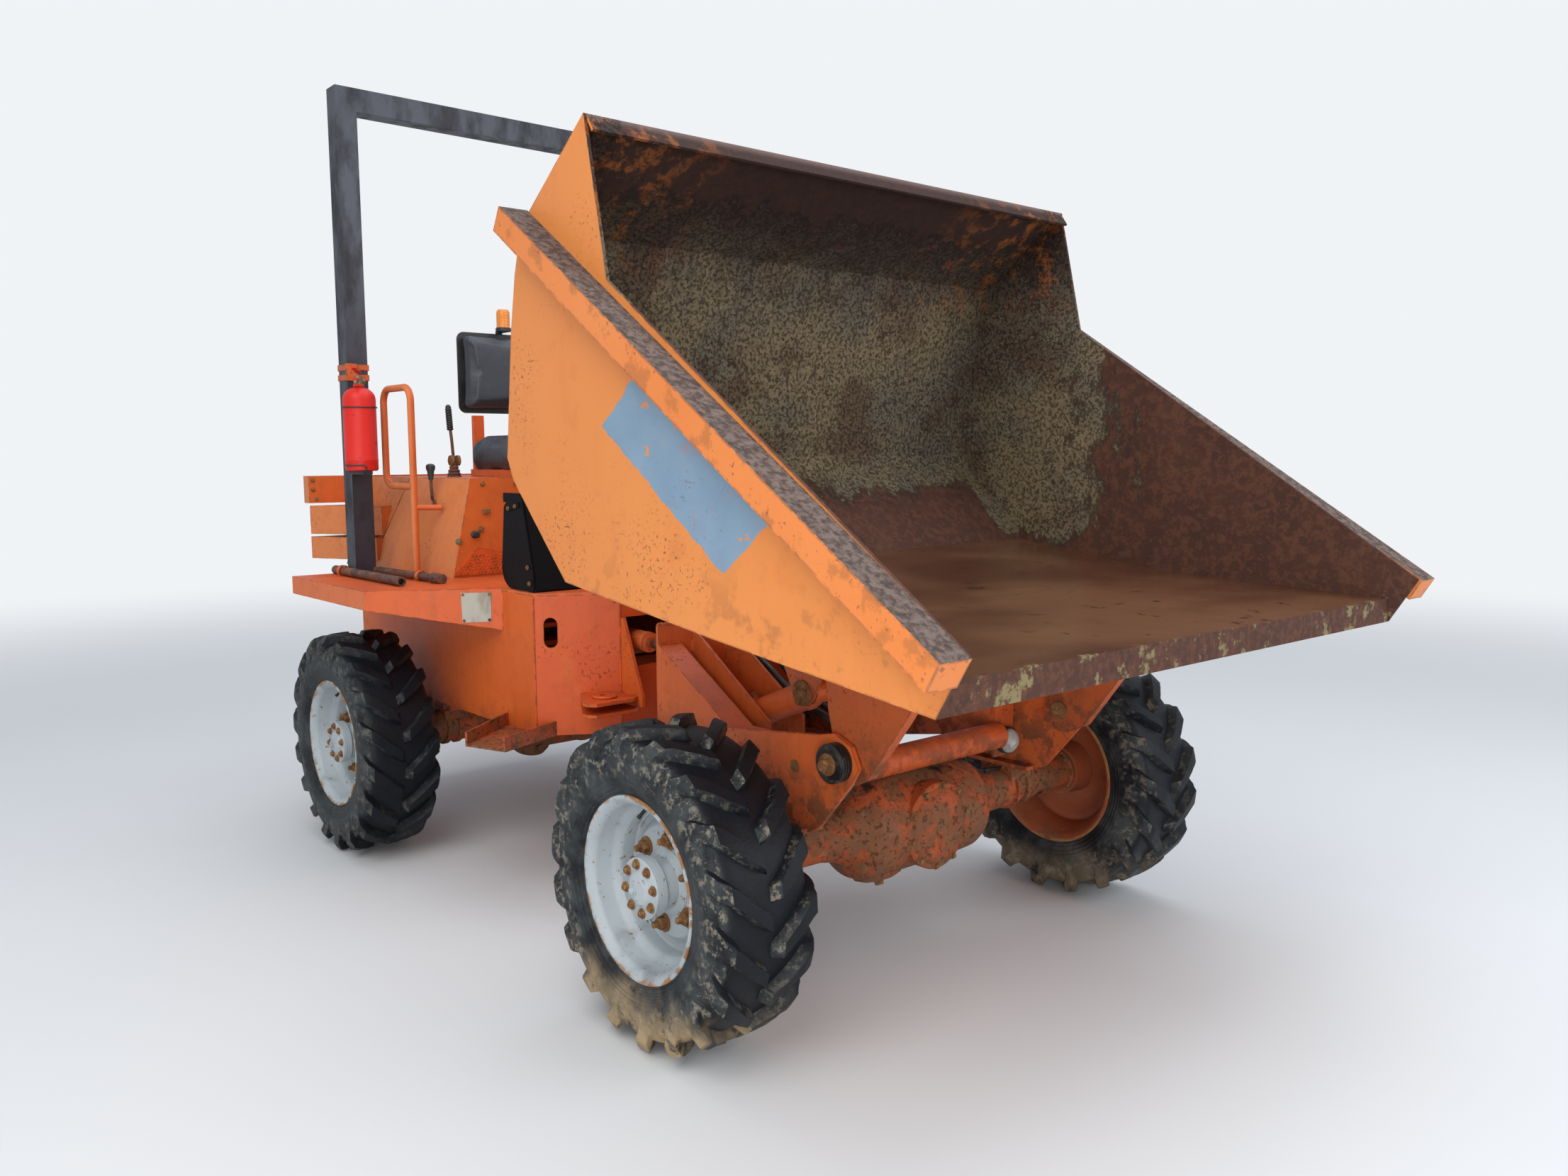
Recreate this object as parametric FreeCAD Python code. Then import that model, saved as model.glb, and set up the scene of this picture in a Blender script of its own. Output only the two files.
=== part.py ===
import FreeCAD, Part
import math
import os

os.makedirs("parts", exist_ok=True)

V = FreeCAD.Vector

# Frame: millimetres, +X forward, +Z up, the right-hand side is -Y, ground at z = 0.
# x values in the tables below count from the front axle; FA moves them to the middle.
# z values in the tables go with the axles: LIFT raises the whole machine on a larger tyre.
FA = 808.5

# Main stations
WHEELBASE = 1886.0
HALF_TRACK = 770.0
TYRE_R = 380.0
AXLE_Z = 380.0
LIFT = TYRE_R - AXLE_Z
STEER_X = -712.0
TIP_X = 220.0
TIP_Z = 647.0
DECK_Z = 942.0
BODY_HALF = 525.0
SHEET = 8.0
PLATE = 10.0

# Fits: round pins run with RUN_GAP, pieces that only stand against each other keep SEAT_GAP
RUN_GAP = 0.05
SEAT_GAP = 0.3


def P(x, y, z):
    return V(x + FA, y, z + LIFT)


def poly_face(points):
    wire = Part.makePolygon(points + [points[0]])
    return Part.Face(wire)


def prism_xz(points, y0, y1):
    face = poly_face([P(x, y0, z) for x, z in points])
    return face.extrude(V(0, y1 - y0, 0))


def prism_xy(points, z0, z1):
    face = poly_face([P(x, y, z0) for x, y in points])
    return face.extrude(V(0, 0, z1 - z0))


def prism_yz(points, x0, x1):
    face = poly_face([P(x0, y, z) for y, z in points])
    return face.extrude(V(x1 - x0, 0, 0))


def box(x0, x1, y0, y1, z0, z1):
    return Part.makeBox(x1 - x0, y1 - y0, z1 - z0, P(x0, y0, z0))


def cyl_y(x, z, r, y0, y1):
    return Part.makeCylinder(r, y1 - y0, P(x, y0, z), V(0, 1, 0))


def cyl_z(x, y, r, z0, z1):
    return Part.makeCylinder(r, z1 - z0, P(x, y, z0), V(0, 0, 1))


def cyl_x(y, z, r, x0, x1):
    return Part.makeCylinder(r, x1 - x0, P(x0, y, z), V(1, 0, 0))


def rod(a, b, r):
    d = b - a
    return Part.makeCylinder(r, d.Length, a, d)


def mirror(shape):
    return shape.mirror(V(0, 0, 0), V(0, 1, 0))


def both(shape):
    return [shape, mirror(shape)]


def fuse(shapes):
    out = shapes[0]
    if len(shapes) > 1:
        out = shapes[0].multiFuse(shapes[1:])
    return out.removeSplitter()


def export(name, shapes):
    shape = shapes[0] if len(shapes) == 1 else Part.makeCompound(shapes)
    shape.exportStep("parts/%s.step" % name)


def rounded_path(points, bend, chords):
    # A path in an x-z plane whose corners are replaced by a few chords of one bend radius.
    out = [points[0]]
    for i in range(1, len(points) - 1):
        corner = points[i]
        back = (points[i - 1] - corner).normalize()
        ahead = (points[i + 1] - corner).normalize()
        angle = back.getAngle(ahead)
        centre = corner + (back + ahead).normalize() * (bend / math.sin(angle / 2.0))
        run = bend / math.tan(angle / 2.0)
        first = corner + back * run - centre
        last = corner + ahead * run - centre
        for k in range(chords + 1):
            part = float(k) / chords
            out.append(centre + (first * (1.0 - part) + last * part).normalize() * bend)
    out.append(points[-1])
    return out


def faceted_tube(path, radius, sides):
    # A tube of flat sides with mitred joints along a path in an x-z plane.
    across = V(0, 1, 0)
    rings = []
    for i, point in enumerate(path):
        before = (point - path[max(i - 1, 0)])
        after = (path[min(i + 1, len(path) - 1)] - point)
        d_in = before.normalize() if i > 0 else after.normalize()
        d_out = after.normalize() if i < len(path) - 1 else d_in
        normal = across.cross((d_in + d_out).normalize())
        stretch = radius / math.cos(d_in.getAngle(d_out) / 2.0)
        ring = []
        for k in range(sides):
            a = 2.0 * math.pi * (k + 0.5) / sides
            ring.append(point + normal * (stretch * math.cos(a)) + across * (radius * math.sin(a)))
        rings.append(ring)
    faces = [poly_face(rings[0]), poly_face(rings[-1])]
    for r0, r1 in zip(rings[:-1], rings[1:]):
        for j in range(sides):
            k = (j + 1) % sides
            faces.append(poly_face([r0[j], r0[k], r1[k], r1[j]]))
    return solid_from_faces(faces)


def solid_from_faces(faces):
    shell = Part.makeShell(faces)
    return Part.makeSolid(shell)


def turned(profile, sides):
    # A faceted body of revolution about +Y from a closed profile of (y, radius).
    faces = []
    step = 2.0 * math.pi / sides
    for i in range(sides):
        a = (i - 0.5) * step
        b = (i + 0.5) * step
        for (y0, r0), (y1, r1) in zip(profile, profile[1:] + profile[:1]):
            corners = [(y0, r0, a), (y1, r1, a), (y1, r1, b), (y0, r0, b)]
            if r0 == 0.0 and r1 == 0.0:
                continue
            if r0 == 0.0:
                corners = corners[:3]
            elif r1 == 0.0:
                corners = [corners[0], corners[1], corners[3]]
            faces.append(poly_face([V(r * math.cos(t), y, r * math.sin(t)) for y, r, t in corners]))
    return solid_from_faces(faces)


def laid_along(shape, centre, direction):
    # Turns a body made about +Y so that its axis points along a direction.
    out = shape.copy()
    out.Placement = FreeCAD.Placement(centre, FreeCAD.Rotation(V(0, 1, 0), direction))
    return out


# Tyres: faceted carcass about the axle, lugs in two staggered rows
WHEEL_SIDES = 24
RIM_R = 204.0
CROWN_R = TYRE_R - 28.0
LUG_COUNT = 18
LUG_HALF = 2.5
LUG_TOP = TYRE_R / math.cos(math.radians(LUG_HALF))
LUG_STATIONS = [
    # across the tyre, turn in degrees, half width in degrees, top radius
    (3.0, 0.0, LUG_HALF, LUG_TOP),
    (121.0, 15.0, 3.3, TYRE_R - 16.0),
]
LUG_FOOT_R = CROWN_R - 22.0


def lug(turn, side):
    rings = []
    for across, sweep, half, top in LUG_STATIONS:
        ring = []
        for radius, widen in ((top, 1.0), (LUG_FOOT_R, 1.7)):
            for sign in (-1.0, 1.0):
                a = math.radians(turn + sweep + sign * half * widen)
                ring.append(V(radius * math.cos(a), across * side, radius * math.sin(a)))
        rings.append([ring[0], ring[1], ring[3], ring[2]])
    faces = []
    for k in range(len(rings) - 1):
        r0 = rings[k]
        r1 = rings[k + 1]
        for j in range(4):
            a, b = r0[j], r0[(j + 1) % 4]
            c, d = r1[(j + 1) % 4], r1[j]
            faces.append(poly_face([a, b, c]))
            faces.append(poly_face([a, c, d]))
    faces.append(poly_face(rings[0]))
    last = rings[-1]
    faces.append(poly_face([last[0], last[1], last[2]]))
    faces.append(poly_face([last[0], last[2], last[3]]))
    return solid_from_faces(faces)


def tyre_at_origin():
    wall = CROWN_R - RIM_R
    profile = [
        (-96.5, RIM_R), (-121, RIM_R + 0.31 * wall), (-128, RIM_R + 0.58 * wall), (-120, RIM_R + 0.87 * wall),
        (-100, CROWN_R), (100, CROWN_R), (120, RIM_R + 0.87 * wall), (128, RIM_R + 0.58 * wall),
        (121, RIM_R + 0.31 * wall), (96.5, RIM_R), (86, RIM_R), (92, CROWN_R - 28), (-92, CROWN_R - 28),
        (-86, RIM_R),
    ]
    carcass = turned(profile, WHEEL_SIDES)
    pitch = 360.0 / LUG_COUNT
    lugs = []
    for i in range(LUG_COUNT):
        lugs.append(lug(i * pitch, 1.0))
        lugs.append(lug((i + 0.5) * pitch, -1.0))
    return carcass.multiFuse(lugs)


def wheel_at_origin():
    # Outer side is +Y. Rim and dished disc in one, hub, ring of nuts.
    seat = RIM_R - RUN_GAP
    rim_profile = [
        (112, 217), (112, 208), (97, 194), (52, 190), (38, 171), (-2, 171), (-2, 128), (20, 98), (20, 40),
        (8, 40), (8, 96), (-12, 124), (-12, 171), (-50, 172), (-97, 194), (-112, 208), (-112, 217),
        (-104.2, 217), (-98.2, seat), (98.2, seat), (104.2, 217),
    ]
    hub_profile = [(-70, 0), (-70, 76), (10, 76), (20, 62), (78, 62), (80, 70), (92, 70), (92, 0)]
    cap = Part.makeCylinder(40, 24, V(0, 80, 0), V(0, 1, 0))
    pieces = [turned(hub_profile, 12), cap]
    for i in range(6):
        a = math.radians(60.0 * i + 15.0)
        nut = turned([(14, 0), (14, 12.5), (38, 12.5), (38, 0)], 6)
        nut.translate(V(88 * math.cos(a), 0, 88 * math.sin(a)))
        pieces.append(nut)
    return turned(rim_profile, WHEEL_SIDES).multiFuse(pieces)


tyre = tyre_at_origin()
wheel = wheel_at_origin()
WHEELS = [
    # name, x of the axle, side
    ("front_right", 0.0, -1.0),
    ("front_left", 0.0, 1.0),
    ("rear_right", -WHEELBASE, -1.0),
    ("rear_left", -WHEELBASE, 1.0),
]
for name, axle_x, side in WHEELS:
    t = tyre.copy()
    w = wheel.copy()
    if side < 0:
        t = t.mirror(V(0, 0, 0), V(0, 1, 0))
        w = w.mirror(V(0, 0, 0), V(0, 1, 0))
    place = P(axle_x, side * HALF_TRACK, AXLE_Z)
    t.translate(place)
    w.translate(place)
    export("tyre_" + name, [t])
    export("wheel_" + name, [w])


# Axles: cast housing with a round centre, tapered arms and flanged ends
HUB_FACE = HALF_TRACK - 70.0
PAD_Z = AXLE_Z + 70.0
FOOT_OUT = BODY_HALF - 35.0
FOOT_IN = BODY_HALF - 125.0


def axle(axle_x, nose):
    profile = [
        (-HUB_FACE, 0), (-HUB_FACE, 66), (-HUB_FACE + 14, 66), (-HUB_FACE + 14, 58), (-300, 58),
        (-190, 100), (-150, 132), (-110, 140), (110, 140), (150, 132), (190, 100), (300, 58),
        (HUB_FACE - 14, 58), (HUB_FACE - 14, 66), (HUB_FACE, 66), (HUB_FACE, 0),
    ]
    body = turned(profile, 18)
    body.translate(P(axle_x, 0, AXLE_Z))
    neck = cyl_x(-60, AXLE_Z, 80, min(axle_x, axle_x + nose), max(axle_x, axle_x + nose))
    pads = both(box(axle_x - 60, axle_x + 60, FOOT_IN, FOOT_OUT, AXLE_Z + 30, PAD_Z))
    return fuse([body, neck] + pads)


export("front_axle", [axle(0.0, -210.0)])
export("rear_axle", [axle(-WHEELBASE, 210.0)])

# Steering ram pin stations: right-hand side, barrel on the rear frame
ST_REAR = (-1300.0, -190.0)
ST_FRONT = (-650.0, -250.0)
ST_Z = 780.0
ST_EAR_GAP = 18.5
ST_PIN_R = 12.0
REAR_ST_PIN_R = 15.0

# Front chassis: rear bulkhead, box beams, gusset pairs, cheeks, belly
BULK_X = -599.0
BEAM_OUT = 400.0
BEAM_IN = 323.0
BELLY_Z = 500.0
RAM_SLOT_HALF = 57.0
CHEEK_IN = 438.0
CHEEK_OUT = 450.0
RAM_Y = 213.0
PLATE_GAP = 57.0
beam_profile = [
    (BULK_X + 12, 826), (-253, 634), (40, 640), (40, 560), (-300, 500), (BULK_X + 12, 500),
]
bulkhead = box(BULK_X, BULK_X + 12, -BEAM_OUT, BEAM_OUT, 500, 880)
front_pieces = [bulkhead]
for s in (-1.0, 1.0):
    lo = min(s * BEAM_IN, s * BEAM_OUT)
    front_pieces.append(prism_xz(beam_profile, lo, lo + BEAM_OUT - BEAM_IN))
    for off in (RAM_Y - PLATE_GAP - PLATE, RAM_Y + PLATE_GAP):
        y0 = off if s > 0 else -off - PLATE
        front_pieces.append(prism_xz(
            [(BULK_X + 12, 853), (-570, 853), (-241, 640), (-241, 540), (-420, 500), (BULK_X + 12, 500)],
            y0, y0 + PLATE))
    cheek = [
        (-230, 652), (150, 700), (205, 712), (262, 690), (287, 640), (262, 600), (150, 470), (110, PAD_Z),
        (-110, PAD_Z), (-150, 520), (-300, 560),
    ]
    y0 = CHEEK_IN if s > 0 else -CHEEK_OUT
    front_pieces.append(prism_xz(cheek, y0, y0 + CHEEK_OUT - CHEEK_IN))
    web_y0 = BEAM_OUT if s > 0 else -CHEEK_IN
    front_pieces.append(box(-230, 40, web_y0, web_y0 + CHEEK_IN - BEAM_OUT, 600, 612))
front_pieces += both(box(-110, 110, FOOT_IN, FOOT_OUT, PAD_Z, PAD_Z + 12))
# Belly plate with a slot below each tip ram
belly = box(BULK_X + 12, -300, -BEAM_IN, BEAM_IN, BELLY_Z, BELLY_Z + PLATE)
slot_in, slot_out = RAM_Y - RAM_SLOT_HALF, RAM_Y + RAM_SLOT_HALF
for slot in both(box(BULK_X + 12, -299, slot_in, slot_out, BELLY_Z - 1, BELLY_Z + PLATE + 1)):
    belly = belly.cut(slot)
front_pieces.append(belly)
front_pieces.append(cyl_y(60, 560, 38, -BEAM_IN - 7, BEAM_IN + 7))
# End plates of the box beams, each with a lamp on it
BEAM_END = 40.0
LAMP_SEAT = BEAM_END + 10.0
LAMP_Y = 372.0
LAMP_Z = 538.0
front_pieces += both(box(BEAM_END, LAMP_SEAT, BEAM_IN + 4, LAMP_Y + 40, LAMP_Z - 46, 640))
front_pieces.append(box(STEER_X, BULK_X, -70, 70, 560, 590))
front_pieces.append(box(STEER_X, BULK_X, -70, 70, 760, 790))
for z0 in (560, 760):
    front_pieces.append(cyl_z(STEER_X, 0, 70, z0, z0 + 30))
for z0 in (ST_Z - ST_EAR_GAP - 9.5, ST_Z + ST_EAR_GAP):
    front_pieces.append(prism_xy([
        (ST_FRONT[0] - 24, -274), (ST_FRONT[0] - 24, -226), (BULK_X, -215), (BULK_X, -285)], z0, z0 + 9.5))
front_chassis = fuse(front_pieces).cut(cyl_z(ST_FRONT[0], ST_FRONT[1], ST_PIN_R + RUN_GAP, 700, 860))
PIN_R = 25.0
front_chassis = front_chassis.cut(cyl_z(STEER_X, 0, PIN_R + RUN_GAP, 500, 900))
for s in (-1.0, 1.0):
    front_chassis = front_chassis.cut(cyl_y(TIP_X, TIP_Z, PIN_R + RUN_GAP, -500, 500))

# Base pins of the tip rams sit low between the gusset plates
RAM_BASE = (-540.0, 560.0)
RAM_PIN_R = 17.5
front_chassis = front_chassis.cut(cyl_y(RAM_BASE[0], RAM_BASE[1], RAM_PIN_R + RUN_GAP, -300, 300))
export("front_chassis", [front_chassis])

# Pin ends held in the plates; the middle of each pin is carried by the rod's eye
ends = []
for low, high in ((ST_Z - 32, ST_Z - ST_EAR_GAP), (ST_Z + ST_EAR_GAP, ST_Z + 32)):
    ends.append(cyl_z(ST_FRONT[0], ST_FRONT[1], ST_PIN_R, low, high))
for inside, outside in ((RAM_Y - PLATE_GAP, RAM_Y - 75), (RAM_Y + PLATE_GAP, RAM_Y + 75)):
    ends += both(cyl_y(RAM_BASE[0], RAM_BASE[1], RAM_PIN_R, min(inside, outside), max(inside, outside)))
export("front_ram_pins", ends)

export("headlamps", [cyl_x(s * LAMP_Y, LAMP_Z, 40, LAMP_SEAT, LAMP_SEAT + 42) for s in (-1, 1)])

pivots = []
for s in (-1.0, 1.0):
    a = min(s * 395, s * 470)
    pin = cyl_y(TIP_X, TIP_Z, PIN_R, a, a + 75)
    w = CHEEK_OUT if s > 0 else -CHEEK_OUT - 12
    washer = cyl_y(TIP_X, TIP_Z, 40, w, w + 12)
    pivots.append(fuse([pin, washer]))
export("skip_pivot_pins", pivots)

# Skip: bent floor and back sheet, side sheets, rim flanges, spill guard, lip
SKIP_HALF = 875.0
FLANGE_WIDTH = 76.0
outer = [
    (905, 977), (290, 1002), (-284, 1074), (-521, 1309), (-547, 1361), (-508, 1675), (-480, 1810),
    (-445, 1915), (-155, 2114),
]


def offset_inward(points, t):
    # Offsets an open polyline towards the load space by the sheet thickness.
    segs = []
    for i in range(len(points) - 1):
        x0, z0 = points[i]
        x1, z1 = points[i + 1]
        n = math.hypot(x1 - x0, z1 - z0)
        nx, nz = (z1 - z0) / n, -(x1 - x0) / n
        segs.append(((x0 + nx * t, z0 + nz * t), (x1 + nx * t, z1 + nz * t)))
    res = [segs[0][0]]
    for i in range(len(segs) - 1):
        (ax, az), (bx, bz) = segs[i]
        (cx, cz), (dx, dz) = segs[i + 1]
        r0 = (bx - ax, bz - az)
        r1 = (dx - cx, dz - cz)
        det = r0[0] * r1[1] - r0[1] * r1[0]
        k = ((cx - ax) * r1[1] - (cz - az) * r1[0]) / det
        res.append((ax + r0[0] * k, az + r0[1] * k))
    res.append(segs[-1][1])
    return res


def underside(x):
    # Height of the sheet's outer face at a station x
    for (xa, za), (xb, zb) in zip(outer[:-1], outer[1:]):
        if xb <= x <= xa:
            return za + (zb - za) * (xa - x) / (xa - xb)
    return outer[-1][1]


inner = offset_inward(outer, SHEET)
tray = prism_xz(outer + inner[::-1], -SKIP_HALF + SHEET, SKIP_HALF - SHEET)
side_sheet = [
    (975, 1040), (905, 925), (290, 992), (-284, 1064), (-530, 1306), (-557, 1361), (-518, 1675),
    (-490, 1810), (-455, 1918), (-155, 2122), (-73, 1750),
]
sides = both(prism_xz(side_sheet, SKIP_HALF - SHEET, SKIP_HALF))
lip = prism_xz([(905, 985), (905, 925), (881, 925), (881, 978)], -SKIP_HALF + SHEET, SKIP_HALF - SHEET)
guard_lip = prism_xz([
    (-155, 2122), (-128, 2083), (-134, 2079), (-161, 2118)], -SKIP_HALF + SHEET, SKIP_HALF - SHEET)
export("skip_shell", [fuse([tray, lip, guard_lip] + sides)])

flange = prism_xz([(-418, 1952), (983, 1038), (952, 986), (-449, 1900)], SKIP_HALF, SKIP_HALF + FLANGE_WIDTH)
export("skip_rim_flanges", both(flange))

# Brackets under the skip: pivot arms and ram lugs
pivot_arm = [
    (140, underside(140)), (158, 826), (166, 760), (180, 705), (172, 650), (165, 610), (205, 590),
    (245, 590), (300, 615), (425, 782), (470, 860), (470, underside(470)), (290, underside(290)),
]
RAM_TOP = (-115.0, 737.0)
ram_lug = [
    (-330, underside(-330)), (-330, 1060), (-150, 722), (-130, 703), (-100, 703), (-78, 722), (60, 990),
    (60, underside(60)), (-284, underside(-284)),
]
brackets = []
for s in (-1.0, 1.0):
    y0 = 405.0 if s > 0 else -433.0
    brackets.append(prism_xz(pivot_arm, y0, y0 + 28).cut(cyl_y(TIP_X, TIP_Z, PIN_R + RUN_GAP, -500, 500)))
    for off in (RAM_Y - 52, RAM_Y + 42):
        y1 = off if s > 0 else -off - 10
        lug_plate = prism_xz(ram_lug, y1, y1 + 10)
        brackets.append(lug_plate.cut(cyl_y(RAM_TOP[0], RAM_TOP[1], RAM_PIN_R + RUN_GAP, -500, 500)))
export("skip_brackets", brackets)

top_pins = []
for s in (-1.0, 1.0):
    c = s * RAM_Y
    top_pins.append(cyl_y(RAM_TOP[0], RAM_TOP[1], RAM_PIN_R, c - 54, c + 54))
export("tip_ram_top_pins", top_pins)

# Tip rams: barrel on the skip, rod eye on the chassis
dx = RAM_BASE[0] - RAM_TOP[0]
dz = RAM_BASE[1] - RAM_TOP[1]
RAM_LEN = math.hypot(dx, dz)
ux, uz = dx / RAM_LEN, dz / RAM_LEN
BARREL_LEN = 335.0
BORE_START = 60.0
ROD_INNER = 155.0
BARREL_R = 40.0
ROD_R = 20.0


def ram_point(y, along):
    return P(RAM_TOP[0] + ux * along, y, RAM_TOP[1] + uz * along)


barrels = []
rods = []
base_pins = []
for s in (-1.0, 1.0):
    c = s * RAM_Y
    eye = cyl_y(RAM_TOP[0], RAM_TOP[1], 34, c - 30, c + 30)
    tube = rod(ram_point(c, 20), ram_point(c, BARREL_LEN), BARREL_R)
    body = fuse([eye, tube])
    body = body.cut(cyl_y(RAM_TOP[0], RAM_TOP[1], RAM_PIN_R + RUN_GAP, c - 40, c + 40))
    body = body.cut(rod(ram_point(c, BORE_START), ram_point(c, BARREL_LEN + 5), ROD_R + RUN_GAP))
    barrels.append(body)
    stem = rod(ram_point(c, ROD_INNER), ram_point(c, RAM_LEN - 20), ROD_R)
    foot = cyl_y(RAM_BASE[0], RAM_BASE[1], 32, c - 30, c + 30)
    r = fuse([stem, foot]).cut(cyl_y(RAM_BASE[0], RAM_BASE[1], RAM_PIN_R + RUN_GAP, c - 40, c + 40))
    rods.append(r)
    half_pin = PLATE_GAP - SEAT_GAP
    base_pins.append(cyl_y(RAM_BASE[0], RAM_BASE[1], RAM_PIN_R, c - half_pin, c + half_pin))
export("tip_ram_barrels", barrels)
export("tip_ram_rods", rods)
export("tip_ram_base_pins", base_pins)

# Rear chassis: side walls, angled front panels, front wall, floor, rear wall
REAR_X = -2480.0
HITCH_X = REAR_X - 100.0
WEIGHT_X = REAR_X - 120.0
HITCH_BORE_R = 14.0
FOLD_X = -1084.0
NOSE_X = -941.0
NOSE_Y = 300.0
BODY_Z0 = 490.0
HINGE = (-2514.0, 958.0)
HINGE_R = 6.0
HINGE_BOSS_R = 11.0
WINDOW_IN = 120.0
WINDOW_OUT = 280.0
wall = [
    (REAR_X, BODY_HALF), (FOLD_X, BODY_HALF), (NOSE_X, NOSE_Y), (NOSE_X - 12, NOSE_Y - 6),
    (FOLD_X - 5, BODY_HALF - 10), (REAR_X, BODY_HALF - 10),
]
# Round-ended slot through each angled front panel
SLOT_AT = (-1057.0, 482.5)
SLOT_R = 21.0
SLOT_Z = (790.0, 843.0)
panel_run = math.hypot(NOSE_X - FOLD_X, BODY_HALF - NOSE_Y)
along_x, along_y = (NOSE_X - FOLD_X) / panel_run, (NOSE_Y - BODY_HALF) / panel_run
slot_plan = []
for along, through in ((-SLOT_R, -20), (SLOT_R, -20), (SLOT_R, 20), (-SLOT_R, 20)):
    slot_plan.append((
        SLOT_AT[0] + along_x * along - along_y * through, SLOT_AT[1] + along_y * along + along_x * through))
slot_pieces = [prism_xy(slot_plan, SLOT_Z[0], SLOT_Z[1])]
for z in SLOT_Z:
    start = P(SLOT_AT[0] + along_y * 20, SLOT_AT[1] - along_x * 20, z)
    slot_pieces.append(Part.makeCylinder(SLOT_R, 40, start, V(-along_y, along_x, 0)))
walls = both(prism_xy(wall, BODY_Z0, DECK_Z - 8).cut(fuse(slot_pieces)))
rear_pieces = walls
# Front wall with a window for the steering ram
front_wall = box(NOSE_X - 12, NOSE_X, -NOSE_Y, NOSE_Y, BODY_Z0, DECK_Z - 8)
window = box(NOSE_X - 13, NOSE_X + 1, -WINDOW_OUT, -WINDOW_IN, ST_Z - 80, ST_Z + 80)
rear_pieces.append(front_wall.cut(window))
rear_pieces.append(box(REAR_X, REAR_X + 10, -BODY_HALF, BODY_HALF, BODY_Z0, DECK_Z - 8))
rear_pieces.append(box(-1640, -1100, -BODY_HALF + 10, BODY_HALF - 10, BODY_Z0, BODY_Z0 + 8))
rear_pieces.append(box(REAR_X + 10, -2090, -BODY_HALF + 10, BODY_HALF - 10, BODY_Z0, BODY_Z0 + 8))
RAIL_Z = BODY_Z0 + 80.0
rear_pieces += both(box(REAR_X + 10, -1100, FOOT_IN, FOOT_OUT, BODY_Z0, RAIL_Z))
rear_pieces += both(box(-2090, -1640, FOOT_OUT, BODY_HALF - 10, RAIL_Z - 10, RAIL_Z))
for x in (-2340.0, -1800.0):
    rear_pieces.append(box(x, x + 60, -FOOT_IN, FOOT_IN, RAIL_Z - 40, RAIL_Z))
rear_pieces += both(box(-WHEELBASE - 100, -WHEELBASE + 100, FOOT_IN, FOOT_OUT, PAD_Z, BODY_Z0))


def panel_y(x):
    # Half width of the angled front panel at a station x
    return BODY_HALF + (x - FOLD_X) / (NOSE_X - FOLD_X) * (NOSE_Y - BODY_HALF)


for s in (-1.0, 1.0):
    y0 = NOSE_Y - 10.0 if s > 0 else -NOSE_Y
    nose_plate = [(NOSE_X, 860), (-924, 860), (-825, 620), (-825, 590), (NOSE_X, 590)]
    rear_pieces.append(prism_xz(nose_plate, y0, y0 + 10))
    for z0 in (578, 612):
        tab = prism_xy([
            (-1010, s * panel_y(-1010)), (NOSE_X, s * NOSE_Y), (-850, s * NOSE_Y), (-830, s * 330),
            (-830, s * 460), (-850, s * 480), (-880, s * 480)], z0, z0 + 10)
        rear_pieces.append(tab)
for z0 in (590.5, 729.5):
    tongue = prism_xy([(NOSE_X, -115), (NOSE_X, 115), (STEER_X, 65), (STEER_X, -65)], z0, z0 + 30)
    rear_pieces.append(tongue)
    rear_pieces.append(cyl_z(STEER_X, 0, 65, z0, z0 + 30))
for z0 in (ST_Z - 38, ST_Z + 22.5):
    rear_pieces.append(box(
        ST_REAR[0] - 40, ST_REAR[0] + 40, -BODY_HALF + 10, ST_REAR[1] + 40, z0, z0 + 15.5))
for s in (-1.0, 1.0):
    y0 = 310.0 if s > 0 else -318.0
    rear_pieces.append(prism_xz([
        (REAR_X, 934), (REAR_X, 890), (REAR_X - 20, 890), (HINGE[0] - 9, HINGE[1] - 3),
        (HINGE[0] + 9, HINGE[1] - 3), (HINGE[0] + 10, HINGE[1] - 20)], y0, y0 + 8))
    rear_pieces.append(cyl_y(HINGE[0], HINGE[1], HINGE_BOSS_R, y0, y0 + 8))
    a = min(s * 294, s * 322)
    rear_pieces.append(cyl_y(HINGE[0], HINGE[1], HINGE_R, a, a + 28))
rear_frame = fuse(rear_pieces).cut(cyl_z(ST_REAR[0], ST_REAR[1], REAR_ST_PIN_R + RUN_GAP, 700, 860))
rear_frame = rear_frame.cut(cyl_z(STEER_X, 0, PIN_R + RUN_GAP, 400, 900))
export("rear_frame", [rear_frame])

export("rear_frame_pins", [
    fuse([cyl_z(STEER_X, 0, PIN_R, 545, 805), cyl_z(STEER_X, 0, 45, 790, 802)]),
    cyl_z(ST_REAR[0], ST_REAR[1], REAR_ST_PIN_R, ST_Z - 38, ST_Z + 38)])

# Steering ram: right-hand side, barrel on the rear frame
sdx = ST_FRONT[0] - ST_REAR[0]
sdy = ST_FRONT[1] - ST_REAR[1]
ST_LEN = math.hypot(sdx, sdy)
sx, sy = sdx / ST_LEN, sdy / ST_LEN
STEM_R = 16.0


def st_point(along):
    return P(ST_REAR[0] + sx * along, ST_REAR[1] + sy * along, ST_Z)


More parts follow.
